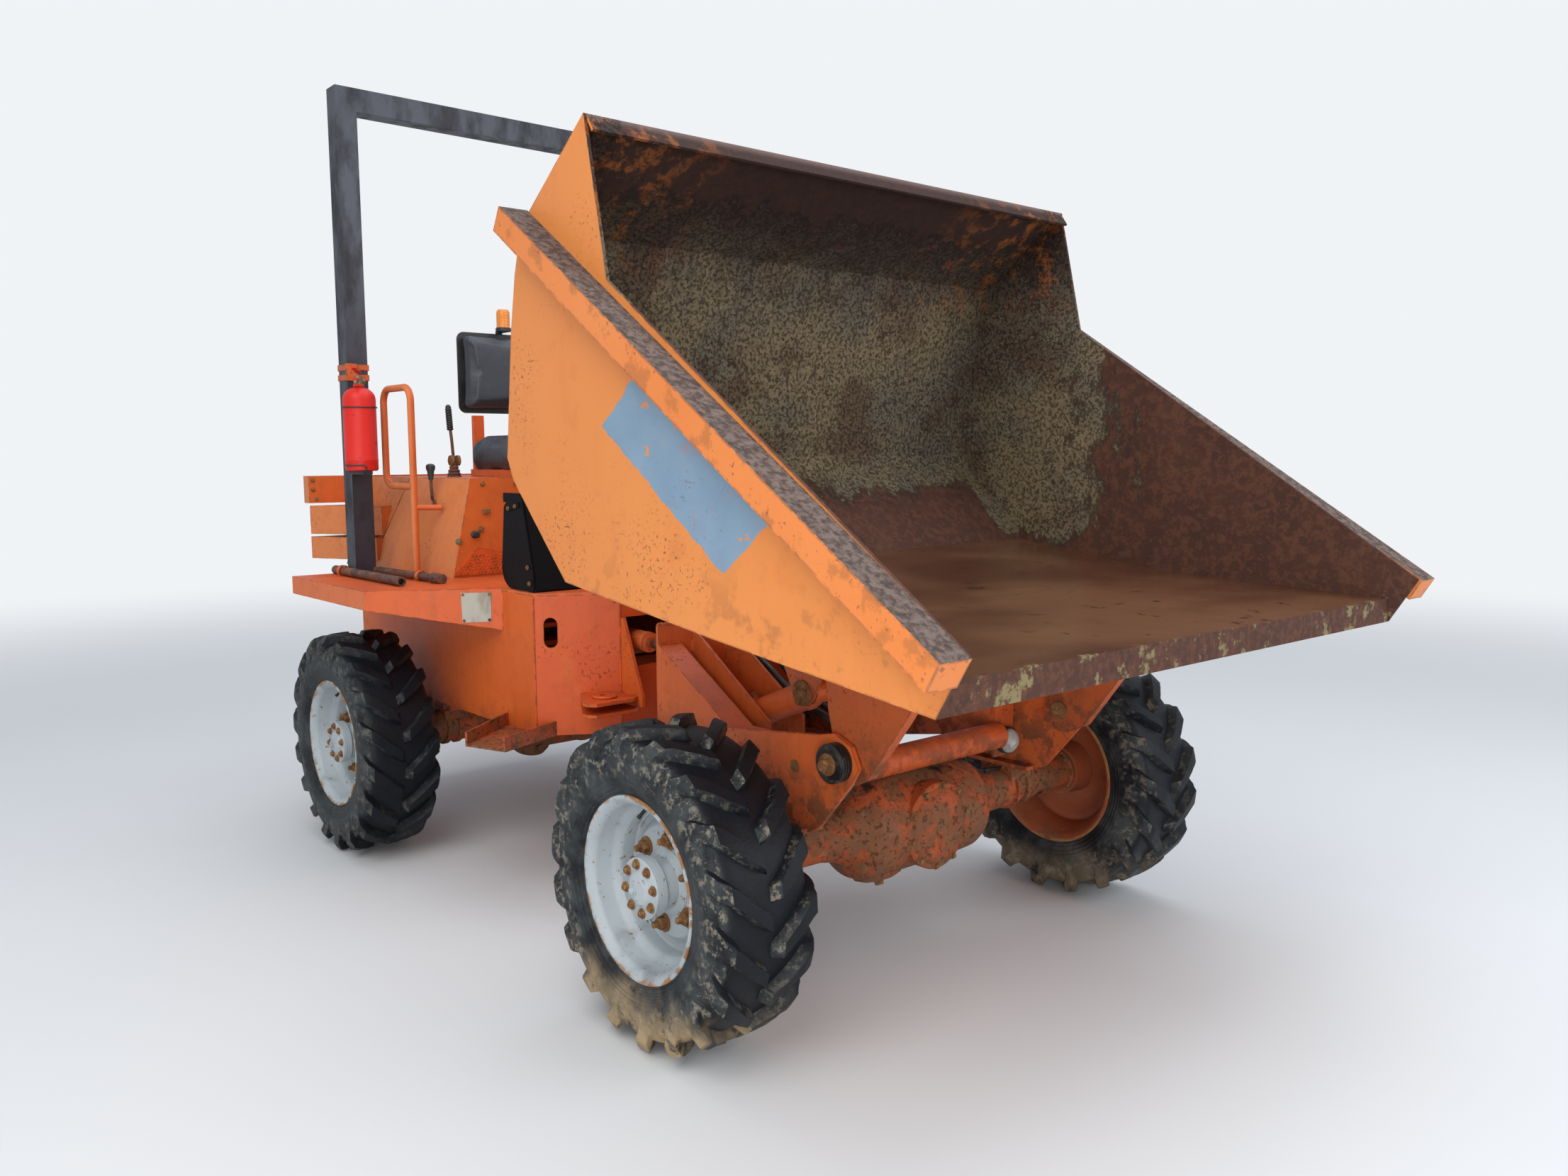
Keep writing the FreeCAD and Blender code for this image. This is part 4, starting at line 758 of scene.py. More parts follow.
HUB = [
    (0.0075, 0.045), (0.0075, 0.079), (0.012, 0.080), (0.022, 0.080), (0.026, 0.074), (0.032, 0.0625),
    (0.060, 0.0600), (0.064, 0.0665), (0.068, 0.0715), (0.082, 0.0720), (0.0835, 0.0695), (0.0845, 0.0720),
    (0.0950, 0.0715), (0.0970, 0.0690), (0.0975, 0.043), (0.1000, 0.040), (0.1035, 0.034), (0.1042, 0.022),
    (0.1042, 0.0),
]
PALE = (0.40, 0.45, 0.475)
PALE_DARK = (0.30, 0.335, 0.355)
INNER_ORANGE = (0.34, 0.070, 0.020)
NUT_COUNT = 6
NUT_RING = 0.104
CAP_BOLTS = 8


def wheel_mesh(name, x, side):
    centre = at(x, side * HALF_TRACK * 1000.0, TYRE_R * 1000.0)
    out = Vector((0.0, side, 0.0))
    body = "wheel_set_" + name
    pale = rim_paint("rim_outer_" + name, PALE, PALE_DARK, centre)
    back = rim_paint("rim_inner_" + name, INNER_ORANGE, (0.22, 0.07, 0.035), centre)
    verts, faces = joined([lathe(RIM, centre, out, 96), lathe(HUB, centre, out, 64)])
    front = piece("rim_front_" + name, verts, faces, body, pale, "rim_grey", smooth=True)
    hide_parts("wheel_" + name)
    verts, faces = joined([lathe(RIM_BACK, centre, out, 96), lathe(HUB_BACK, centre, out, 64)])
    piece("rim_back_" + name, verts, faces, body, back, "orange", smooth=True)

    def ray(degrees):
        a = math.radians(degrees)
        return Vector((math.cos(a), 0.0, math.sin(a)))

    nuts = []
    for i in range(NUT_COUNT):
        q = ray(360.0 * i / NUT_COUNT + 22.0)
        nuts.append(hex_bolt(centre + q * NUT_RING + out * 0.020, out, 0.0165, 0.019))
        nuts.append(lathe([(0.0, 0.0), (0.0, 0.008), (0.032, 0.008), (0.034, 0.006), (0.034, 0.0)],
                          centre + q * NUT_RING + out * 0.020, out, 12))
    for i in range(CAP_BOLTS):
        nuts.append(hex_bolt(centre + ray(45.0 * i + 10.0) * 0.0565 + out * 0.0965, out, 0.0085, 0.0105))
    piece("wheel_nuts_" + name, *joined(nuts), body, BOLT_STEEL, "rusty_steel")
    drain = [hex_bolt(centre + ray(200.0) * 0.018 + out * 0.1038, out, 0.009, 0.008)]
    for turn in (38.0, 112.0, 205.0, 290.0):
        # Short weld runs between the disc and the rim
        arc = [centre + ray(turn + k * 2.0) * 0.1685 + out * 0.002 for k in range(18)]
        drain.append(sweep(arc, [0.0042 + 0.0009 * math.sin(k * 2.2) for k in range(18)], 8))
    piece("rim_welds_" + name, *joined(drain), body, pale, "rim_grey", smooth=True)
    q = ray(97.0)
    valve = lathe([
        (0.0, 0.0), (0.0, 0.0105), (0.004, 0.010), (0.010, 0.0075), (0.014, 0.0045), (0.034, 0.0042), (0.035, 0.0055),
        (0.043, 0.0052), (0.045, 0.0)], centre + q * 0.186 + out * 0.050, (out * 0.8 - q * 0.6), 16)
    piece("valve_" + name, *valve, body, BLACK_PLASTIC, "black_plastic", smooth=True)


for name, x, side, mud in WHEELS:
    tyre_mesh(name, x, side, mud)
    wheel_mesh(name, x, side)


# Axles: smooth castings with bolted cover, drain bulge and brake pipe

AXLE_LINE = [
    # across, radius
    (-0.698, 0.0), (-0.698, 0.066), (-0.688, 0.067), (-0.684, 0.060), (-0.640, 0.057), (-0.330, 0.062), (-0.275, 0.072),
    (-0.238, 0.096), (-0.222, 0.118), (-0.212, 0.130), (-0.196, 0.136), (-0.120, 0.140), (0.120, 0.140), (0.196, 0.136),
    (0.212, 0.130), (0.222, 0.118), (0.238, 0.096), (0.275, 0.072), (0.330, 0.062), (0.640, 0.057), (0.684, 0.060),
    (0.688, 0.067), (0.698, 0.066), (0.698, 0.0),
]


def axle_mesh(name, x, face, body):
    """face is +1 where the cover looks forward, -1 where it looks back."""
    centre = at(x, 0.0, 380.0)
    verts, faces = lathe(AXLE_LINE, centre, (0.0, 1.0, 0.0), 64)
    parts = [(verts, faces)]
    neck_far = -0.210 * face
    neck = [(0.0, 0.080), (abs(neck_far) - 0.02, 0.080), (abs(neck_far) - 0.018, 0.094), (abs(neck_far), 0.094),
            (abs(neck_far), 0.0)]
    parts.append(lathe(neck, centre, (-face, 0.0, 0.0), 40))
    cover = [(0.100, 0.118), (0.137, 0.118), (0.141, 0.114), (0.141, 0.104), (0.150, 0.096), (0.156, 0.070),
             (0.158, 0.0)]
    middle = centre + Vector((0.0, -0.005, 0.0))
    flat_cover = [(a - 0.004, r) for a, r in cover]
    parts.append(lathe(flat_cover, middle, (face, 0.0, 0.0), 56))
    bulge = [(0.0, 0.078), (0.030, 0.076), (0.052, 0.064), (0.062, 0.040), (0.064, 0.0)]
    parts.append(lathe(bulge, centre + Vector((0.0, -0.115, -0.095)), (face * 0.35, 0.0, -1.0), 40))
    for s in (-1.0, 1.0):
        for y in (0.475, 0.430):
            parts.append(lathe([(-0.008, 0.0), (-0.008, 0.068), (0.008, 0.068), (0.008, 0.0)],
                               centre + Vector((0.0, s * y, 0.0)), (0.0, 1.0, 0.0), 40))
    obj = piece("cast_" + name, *joined(parts), body, CASTING, "axle_cast", smooth=True)
    pads = []
    for s in (-1.0, 1.0):
        y0, y1 = sorted((s * 0.400, s * 0.490))
        low, high = at(x - 60.0, y0 * 1000.0, 410.0), at(x + 60.0, y1 * 1000.0, 450.0)
        pads.append(block(low, high))
    piece("pads_" + name, *joined(pads), body, CASTING, "axle_cast", bevel=0.004)
    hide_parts(name)
    rows = []
    for i in range(10):
        a = math.radians(36.0 * i + 12.0)
        rows.append((middle + Vector((face * 0.1365, 0.108 * math.cos(a), 0.108 * math.sin(a))), (face, 0, 0), 0.0075,
                     0.011))
    for s in (-1.0, 1.0):
        for i in range(8):
            a = math.radians(45.0 * i)
            rows.append((centre + Vector((0.058 * math.cos(a), s * 0.684, 0.058 * math.sin(a))), (0, -s, 0), 0.006,
                         0.010))
        for dx in (-0.045, 0.045):
            for y in (0.415, 0.475):
                rows.append((at(x, s * y * 1000.0, 0.0) + Vector((dx, 0.0, 0.410)), (0, 0, -1), 0.010, 0.014))
    rows.append((centre + Vector((face * 0.020, -0.115, -0.154)), (face * 0.35, 0, -1.0), 0.013, 0.014))
    bolts("bolts_" + name, rows, body)
    pipes = []
    for s in (-1.0, 1.0):
        run = [(x + 20.0, s * 20.0, 526.0), (x + 30.0, s * 90.0, 524.0), (x + 34.0, s * 200.0, 519.0),
               (x + 25.0, s * 250.0, 476.0), (x + 15.0, s * 340.0, 446.0), (x + 12.0, s * 600.0, 440.0),
               (x + 10.0, s * 672.0, 434.0)]
        pipes.append(sweep(smooth_line([tuple(at(*q)) for q in run], 6), 0.0045, 8))
        for y in (120.0, 330.0, 560.0):
            z = 522.0 if y < 200.0 else 446.0
            pipes.append(lathe([(-0.006, 0.0), (-0.006, 0.009), (0.006, 0.009), (0.006, 0.0)],
                               at(x + 14.0 + (18.0 if y < 200.0 else 0.0), s * y, z), (0.0, 1.0, 0.0), 12))
    pipes.append(block(at(x + 8.0, -16.0, 514.0), at(x + 36.0, 16.0, 538.0)))
    piece("pipes_" + name, *joined(pipes), body, PIPE, "rubber", smooth=False)


def bolts(name, places, body, material=None, slot="rusty_steel"):
    """Many bolts as one piece: rows of centre, direction, radius, height."""
    return piece(name, *joined([hex_bolt(*row) for row in places]), body, material or BOLT_STEEL, slot)


axle_mesh("front_axle", 0.0, 1.0, "front_frame")
axle_mesh("rear_axle", -1886.0, -1.0, "rear_frame_body")


# Pins: the skip's pivots, the rams' top and base pins, the centre pins

def pivot_stack(y_face, s):
    place = at(220.0, s * y_face, 647.0)
    rubber = [(0.0, 0.0), (0.0, 0.046)]
    for k in range(4):
        rubber += [(0.002 + k * 0.008, 0.0475), (0.006 + k * 0.008, 0.0475), (0.0075 + k * 0.008, 0.043)]
    rubber += [(0.034, 0.040), (0.034, 0.0)]
    steel = [(0.034, 0.0), (0.034, 0.026), (0.038, 0.027), (0.042, 0.025), (0.042, 0.0)]
    return lathe(rubber, place, (0, s, 0), 48), lathe(steel, place, (0, s, 0), 32), place


rubber_parts, steel_parts, heads = [], [], []
for s in (-1.0, 1.0):
    rubber, steel, place = pivot_stack(450.0, s)
    inner = lathe([(-0.055, 0.0), (-0.055, 0.025), (0.0, 0.025)], place, (0, s, 0), 32)
    rubber_parts.append(rubber)
    steel_parts += [steel, inner]
    heads.append((place + Vector((0, s * 0.041, 0)), (0, s, 0), 0.0155, 0.016))
stack = piece("pivot_rubbers", *joined(rubber_parts), "front_frame", GREASY, "rubber", smooth=True)
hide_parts("skip_pivot_pins")
piece("pivot_steel", *joined(steel_parts), "front_frame", BOLT_STEEL, "rusty_steel", smooth=True)
bolts("pivot_bolts", heads, "front_frame")

RAM_Y = 213.0
RAM_TOP = (-115.0, 737.0)
RAM_BASE = (-540.0, 560.0)
heads, plates = [], []
for side_sign in (-1.0, 1.0):
    for out in (-1.0, 1.0):
        y = side_sign * RAM_Y + out * 54.0
        middle = at(RAM_TOP[0], y, RAM_TOP[1])
        plates.append(lathe([(-0.004, 0.0), (-0.004, 0.0345), (0.004, 0.035), (0.007, 0.032), (0.009, 0.024),
                             (0.009, 0.0)], middle, (0, out, 0), 40))
        for k in range(3):
            a = math.radians(120.0 * k + 20.0)
            heads.append((middle + Vector((0.0215 * math.cos(a), out * 0.007, 0.0215 * math.sin(a))), (0, out, 0),
                          0.0085, 0.010))
piece("ram_pin_heads", *joined(plates), "skip", BOLT_STEEL, "rusty_steel", smooth=True)
bolts("ram_pin_bolts", heads, "skip")
base_heads = []
for side_sign in (-1.0, 1.0):
    for out in (-1.0, 1.0):
        y = side_sign * RAM_Y + out * 67.0
        base_heads.append((at(RAM_BASE[0], y, RAM_BASE[1]), (0, out, 0), 0.024, 0.009))
bolts("ram_base_heads", base_heads, "front_frame")
bolts("centre_pin_head", [(at(-712.0, 0.0, 801.0), (0, 0, 1), 0.022, 0.018)], "rear_frame_body")

# Rams: gland nuts, wiper rings, port bosses
ram_way = Vector((RAM_BASE[0] - RAM_TOP[0], 0.0, RAM_BASE[1] - RAM_TOP[1])).normalized()
GLAND = [(0.292, 0.0405), (0.296, 0.0445), (0.332, 0.0445), (0.336, 0.042), (0.336, 0.030), (0.339, 0.026),
         (0.339, 0.0202)]
CAP_END = [(0.034, 0.0395), (0.036, 0.0435), (0.050, 0.0435), (0.054, 0.0405)]
parts = []
for s in (-1.0, 1.0):
    top = at(RAM_TOP[0], s * RAM_Y, RAM_TOP[1])
    parts += [lathe(GLAND, top, ram_way, 48), lathe(CAP_END, top, ram_way, 48)]
    square = ram_way.cross(Vector((0, 1, 0)))
    square = square if square.z > 0 else -square
    for along in (0.075, 0.270):
        parts.append(lathe([(0.036, 0.0), (0.036, 0.013), (0.050, 0.012), (0.050, 0.0)], top + ram_way * along, square, 20))
piece("ram_glands", *joined(parts), "tip_barrels", ORANGE_FRONT, "orange", smooth=True)
fittings = []
for s in (-1.0, 1.0):
    top = at(RAM_TOP[0], s * RAM_Y, RAM_TOP[1])
    for along in (0.075, 0.270):
        fittings.append((top + ram_way * along + square * 0.050, square, 0.010, 0.012))
bolts("ram_fittings", fittings, "tip_barrels")

STEER_REAR = at(-1300.0, -190.0, 780.0)
steer_way = (at(-650.0, -250.0, 780.0) - STEER_REAR).normalized()
parts = [
    lathe([(0.390, 0.0318), (0.392, 0.0328), (0.416, 0.0328), (0.419, 0.031), (0.4195, 0.0162)], STEER_REAR, steer_way, 40),
    lathe([(0.054, 0.031), (0.056, 0.0345), (0.070, 0.0345), (0.073, 0.0325)], STEER_REAR, steer_way, 40)]
piece("steer_gland", *joined(parts), "steer_barrel", ORANGE_FRONT, "orange", smooth=True)

# Headlamps: black rim with a ribbed dome
RIM_OF_LAMP = [(0.0, 0.0), (0.0, 0.036), (0.004, 0.0395), (0.018, 0.0398), (0.020, 0.0385), (0.020, 0.034)]
DOME = [(0.018, 0.0355)]
for k in range(1, 9):
    r = 0.0355 * math.cos(math.radians(k * 11.0))
    DOME.append((0.018 + 0.024 * math.sin(math.radians(k * 11.0)) - (0.0007 if k % 2 else 0.0), r))
DOME.append((0.042, 0.0))
rims, domes = [], []
for s in (-1.0, 1.0):
    place = at(50.0, s * 372.0, 538.0)
    rims.append(lathe(RIM_OF_LAMP, place, (1, 0, 0), 48))
    domes.append(lathe(DOME, place, (1, 0, 0), 48))
lamps = piece("lamp_rims", *joined(rims), "front_frame", BLACK_PLASTIC, "black_plastic", smooth=True)
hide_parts("headlamps")
piece("lamp_domes", *joined(domes), "front_frame", GLASS, "clear_lens", smooth=True)

# Front chassis: weld beads, stops, pipes between the plates, small bolts
beads = []
for s in (-1.0, 1.0):
    for y in (146.0, 156.0, 270.0, 280.0):
        beads.append(weld(at(-586.0, s * y, 510.0), at(-586.0, s * y, 850.0), 0.0042))
    beads.append(weld(at(-586.0, s * 326.0, 827.0), at(-586.0, s * 398.0, 827.0), 0.0055))
    beads.append(weld(at(-586.0, s * 323.0, 560.0), at(-586.0, s * 323.0, 824.0), 0.0045))
    beads.append(weld(at(-226.0, s * 400.0, 613.0), at(38.0, s * 400.0, 613.0), 0.0045))
    beads.append(weld(at(-226.0, s * 438.0, 613.0), at(38.0, s * 438.0, 613.0), 0.0045))
    beads.append(weld(at(-108.0, s * 450.0, 463.0), at(108.0, s * 450.0, 463.0), 0.005))
beads.append(weld(at(-593.0, -398.0, 881.0), at(-593.0, 398.0, 881.0), 0.0075))
piece("front_welds", *joined(beads), "front_frame", ORANGE_FRONT, "orange", smooth=True)
stops = []
for y in (-70.0, 70.0):
    profile = [(0.0, 0.0), (0.0, 0.034), (0.012, 0.036), (0.030, 0.033), (0.036, 0.026), (0.037, 0.0)]
    stops.append(lathe(profile, at(-593.0, y, 880.0), (0, 0, 1), 32))
piece("rubber_stops", *joined(stops), "front_frame", GREASY, "rubber", smooth=True)
PIPE_RUNS = [
    # start behind the bulkhead's top, over it, down between the plates
    [(-586.0, -105.0, 800.0), (-540.0, -108.0, 792.0), (-430.0, -112.0, 742.0), (-330.0, -118.0, 690.0),
     (-200.0, -110.0, 640.0), (-120.0, -60.0, 590.0)],
    [(-586.0, -85.0, 780.0), (-530.0, -86.0, 770.0), (-420.0, -92.0, 716.0), (-300.0, -88.0, 655.0),
     (-170.0, -70.0, 600.0), (-110.0, -30.0, 560.0)],
    [(-586.0, -60.0, 792.0), (-500.0, -50.0, 775.0), (-380.0, -54.0, 700.0), (-260.0, -40.0, 640.0),
     (-120.0, -20.0, 570.0)],
    [(-586.0, 40.0, 770.0), (-480.0, 52.0, 750.0), (-350.0, 66.0, 680.0), (-200.0, 60.0, 610.0),
     (-110.0, 30.0, 560.0)],
]
pipes = [sweep(smooth_line([tuple(at(*q)) for q in run], 8), 0.0085, 12) for run in PIPE_RUNS]
piece("chassis_pipes", *joined(pipes), "front_frame", PIPE, "rubber", smooth=True)
holes = []
for s in (-1.0, 1.0):
    holes.append((at(64.0, s * 450.0, 607.0), (0, s, 0), 0.011, 0.006))
bolts("cheek_bolts", holes, "front_frame")


# Rear chassis: weld seams on the folds, lift eye ring

def panel_y(x):
    return 525.0 + (x + 1084.0) / 143.0 * -225.0


beads = []
for s in (-1.0, 1.0):
    beads.append(weld(at(-1084.0, s * 525.5, 494.0), at(-1084.0, s * 525.5, 932.0), 0.0032))
    beads.append(weld(at(-941.0, s * 301.0, 494.0), at(-941.0, s * 301.0, 932.0), 0.004))
    beads.append(weld(at(-1500.0, s * 526.0, 930.0), at(-1290.0, s * 526.0, 930.0), 0.004))
    beads.append(weld(at(-1010.0, s * (panel_y(-1010.0) + 1.0), 588.0), at(-945.0, s * 304.0, 588.0), 0.004))
piece("rear_welds", *joined(beads), "rear_frame_body", ORANGE, "orange", smooth=True)
eyes = []
for s in (-1.0, 1.0):
    middle = at(-905.0, s * 385.0, 622.0)
    ring = [(0.000, 0.016), (0.000, 0.036), (0.004, 0.039), (0.008, 0.036), (0.008, 0.016), (0.000, 0.016)]
    eyes.append(lathe(ring, middle, (0, 0, 1), 32))
    eyes.append(lathe(ring, at(-905.0, s * 385.0, 570.0), (0, 0, 1), 32))
piece("tie_down_rings", *joined(eyes), "rear_frame_body", ORANGE, "orange", smooth=True)

# Roll bar: foot plates with bolts, bracket band and wire holder for the extinguisher
feet, rows = [], []
for s in (-1.0, 1.0):
    feet.append(block(at(-2206.0, s * 647.5 - 62.0, 942.0), at(-2094.0, s * 647.5 + 62.0, 952.0)))
    for dx in (-2196.0, -2104.0):
        for dy in (-50.0, 50.0):
            rows.append((at(dx, s * 647.5 + dy, 951.0), (0, 0, 1), 0.009, 0.012))
piece("post_feet", *joined(feet), "rear_frame_body", DARK_POST, "dark_steel", bevel=0.002)
bolts("post_bolts", rows, "rear_frame_body")
band = []
for z0, z1 in ((1642.0, 1664.0), (1678.0, 1700.0)):
    band.append(block(at(-2194.0, -689.0, z0), at(-2106.0, -606.0, z1)))
band.append(block(at(-2108.0, -692.0, 1640.0), at(-2100.0, -650.0, 1702.0)))
piece("bracket_bands", *joined(band), "rear_frame_body", BRACKET, "orange", bevel=0.0015)

TANK = at(-2045.0, -672.0, 1317.0)
profile = [(0.0, 0.0), (0.0, 0.050), (0.003, 0.0555), (0.008, 0.057), (0.034, 0.057), (0.036, 0.0578),
           (0.041, 0.0578), (0.043, 0.057)]
profile += [(0.252, 0.057)]
for k in range(1, 8):
    a = math.radians(k * 11.5)
    profile.append((0.252 + 0.046 * math.sin(a), 0.057 * math.cos(a) ** 0.8))
profile += [(0.300, 0.0185), (0.308, 0.0175), (0.309, 0.0)]
tank = piece("tank_shell", *lathe(profile, TANK, (0, 0, 1), 64), "rear_frame_body", RED, "red", smooth=True)
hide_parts("fire_extinguisher")
valve = [lathe([(0.300, 0.0), (0.300, 0.0155), (0.322, 0.0155), (0.324, 0.012), (0.338, 0.011), (0.338, 0.0)],
               TANK, (0, 0, 1), 28),
         lathe([(0.0, 0.0), (0.0, 0.0065), (0.034, 0.0065), (0.036, 0.005), (0.036, 0.0)],
               TANK + Vector((0, 0, 0.316)), (0.8, -0.6, 0), 20),
         lathe([(0.0, 0.0), (0.0, 0.012), (0.004, 0.0125), (0.010, 0.0125), (0.012, 0.011), (0.012, 0.0)],
               TANK + Vector((-0.008, 0.012, 0.318)), (-0.5, 0.85, 0), 24)]
piece("tank_valve", *joined(valve), "rear_frame_body", BRASS, "steel", smooth=True)
grips = []
for lift, reach, droop in ((0.348, 0.092, 0.010), (0.330, 0.080, -0.012)):
    way = Vector((0.86, -0.5, 0.0))
    across = Vector((0.5, 0.86, 0.0)) * 0.010
    foot = TANK + Vector((0, 0, lift)) - way * 0.018
    tip = TANK + way * reach + Vector((0, 0, lift + droop))
    outline = [foot - across, foot + across, tip + across * 0.9, tip + way * 0.006, tip - across * 0.9]
    grips.append(slab(outline, (0, 0, 0.0035)))
piece("tank_grips", *joined(grips), "rear_frame_body", RED, "red", bevel=0.0012)
wire = bent([TANK + Vector(q) for q in (
    (-0.062, -0.030, 0.020), (0.020, -0.064, 0.020), (0.064, -0.010, 0.020), (0.064, -0.010, -0.004),
    (0.010, -0.052, -0.004), (-0.050, -0.030, -0.004))], 0.008, 5)
hoop = [TANK + Vector((0.0595 * math.cos(a), 0.0595 * math.sin(a), 0.226)) for a in np.linspace(0, 2 * math.pi, 49)]
straps = [sweep(wire, 0.003, 10), sweep(hoop, 0.0022, 8)]
piece("tank_wires", *joined(straps), "rear_frame_body", BLACK_PLASTIC, "black_plastic", smooth=True)
label = []
for k in range(13):
    a = math.radians(-150.0 + 2.2 * k)
    for z in (0.125, 0.262):
        label.append(TANK + Vector((0.0573 * math.cos(a), 0.0573 * math.sin(a), z)))
piece("tank_label", label, [(2 * k, 2 * k + 2, 2 * k + 3, 2 * k + 1) for k in range(12)], "rear_frame_body",
      LABEL, "red", smooth=True)

# Grab rails: bent tube and their weld collars
rails, collars = [], []
for s in (-1.0, 1.0):
    y = -560.0
    leg = bent([at(-1862, y * -s, 942), at(-1862, y * -s, 1612), at(-2100, y * -s, 1612), at(-2100, y * -s, 1262),
                at(-1860, y * -s, 1262)], 0.050, 10)
    rails.append(sweep(leg, 0.0125, 20))
    y_house = 466.0
    arm = [at(-1862, 560 * s, 1188), at(-1850, 530 * s, 1187), at(-1828, (y_house + 6) * s, 1186)]
    rails.append(sweep(arm, 0.0100, 16))
    collars.append(lathe([(0.0, 0.0), (0.0, 0.020), (0.006, 0.0165), (0.009, 0.013)], at(-1862, 560 * s, 942), (0, 0, 1), 24))
    collars.append(weld(at(-1862, (560 - 13) * s, 1181), at(-1862, (560 - 13) * s, 1195), 0.004))
rail = piece("rail_tubes", *joined(rails), "rear_frame_body", ORANGE_HOOD, "orange", smooth=True)
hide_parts("grab_rails")
piece("rail_collars", *joined(collars), "rear_frame_body", ORANGE_HOOD, "orange", smooth=True)

# Lock bar with its clips, and a second short tube with a collar
bar = [lathe([(0.0, 0.011), (0.0, 0.0155), (0.002, 0.016), (0.588, 0.016), (0.590, 0.0145), (0.590, 0.011),
              (0.560, 0.0105), (0.560, 0.0)], at(-2150, -745, 958), (1, 0, 0), 28)]
bar.append(lathe([(0.0, 0.0), (0.0, 0.0135), (0.420, 0.0135), (0.422, 0.018), (0.462, 0.019), (0.470, 0.018),
                  (0.486, 0.0175), (0.488, 0.012), (0.488, 0.0)], at(-2030, -640, 958), (0.99, 0.06, 0.0), 28))
bars = piece("lock_bars", *joined(bar), "rear_frame_body", RUSTY_BAR, "rusty_steel", smooth=True)
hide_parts("lock_bar")
clips = []
for cx, cy, r in ((-2075.0, -745.0, 0.0185), (-1700.0, -618.0, 0.0160)):
    ring = [(-0.011, r), (-0.011, r + 0.003), (0.011, r + 0.003), (0.011, r)]
    clips.append(lathe(ring, at(cx, cy, 958), (1, 0, 0), 28))
    clips.append(block(at(cx - 11, cy - 30, 942), at(cx + 11, cy + 4, 946)))
piece("bar_clips", *joined(clips), "rear_frame_body", ORANGE_FRONT, "orange", smooth=False)


# Driver's place: stuffed seat, wheel, levers, dash, flaps

def stuffed(name, low, high, radius, lean, cap, tears):
    """A cushion: a rounded block under cloth pressure, held to a small swelling, then one subdivision."""
    low, high = Vector(low), Vector(high)
    bm = bmesh.new()
    bmesh.ops.create_cube(bm, size=1.0)
    size = high - low
    for v in bm.verts:
        v.co = Vector([low[i] + (v.co[i] + 0.5) * size[i] for i in range(3)])
    bmesh.ops.bevel(bm, geom=bm.edges[:], offset=radius, segments=4, affect="EDGES", profile=0.5)
    mesh = bpy.data.meshes.new(name)
    bm.to_mesh(mesh)
    bm.free()
    obj = bpy.data.objects.new(name, mesh)
    bpy.context.scene.collection.objects.link(obj)
    remesh = obj.modifiers.new("even", "REMESH")
    remesh.mode = "VOXEL"
    remesh.voxel_size = 0.008
    settle(obj)
    before = [v.co.copy() for v in obj.data.vertices]
    cloth = obj.modifiers.new("stuffing", "CLOTH")
    cloth.settings.use_pressure = True
    cloth.settings.uniform_pressure_force = 4.0
    cloth.settings.effector_weights.gravity = 0.0
    cloth.point_cache.frame_start = 1
    cloth.point_cache.frame_end = 20
    for step in range(1, 21):
        bpy.context.scene.frame_set(step)
    settle(obj)
    bpy.context.scene.frame_set(1)
    for v, place in zip(obj.data.vertices, before):
        move = v.co - place
        if move.length > cap:
            move *= cap / move.length
        v.co = place + move
        if v.co.z < low.z + 0.006 and lean is None:
            v.co.z = low.z
    fine = obj.modifiers.new("fine", "SUBSURF")
    fine.levels = 1
    fine.render_levels = 1
    settle(obj)
    if lean is not None:
        foot, slope = lean
        for v in obj.data.vertices:
            v.co.x += (v.co.z - foot) * slope
    obj.data.polygons.foreach_set("use_smooth", [True] * len(obj.data.polygons))
    obj.data.materials.clear()
    obj.data.materials.append(vinyl("vinyl_" + name, tears))
    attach(obj, "rear_frame_body")
    return obj


def settle(obj):
    """The object's shape with its modifiers applied, and no modifier left."""
    shaped = obj.evaluated_get(bpy.context.evaluated_depsgraph_get())
    mesh = bpy.data.meshes.new_from_object(shaped)
    obj.modifiers.clear()
    obj.data = mesh


cushion = stuffed("seat_pad", at(-2088, -250, 1319), at(-1712, 250, 1422), 0.034, None, 0.024,
                  [(-1726.0, -1300.0, 1404.0, 0.0)])
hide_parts("seat_cushion")
back = stuffed("back_pad", at(-2152, -238, 1538), at(-2096, 238, 1846), 0.024, None, 0.020,
               [(-2110.0, -1300.0, 1548.0, 0.0)])
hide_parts("seat_backrest")
shell = slab([at(-2163, y / 1.0, z) for y, z in rounded_outline(-236.0, 236.0, 1536.0, 1848.0, [30.0] * 4)],
             (0.006, 0.0, 0.0))
piece("back_board", *shell, "rear_frame_body", BLACK_PLASTIC, "black_plastic", bevel=0.0015)

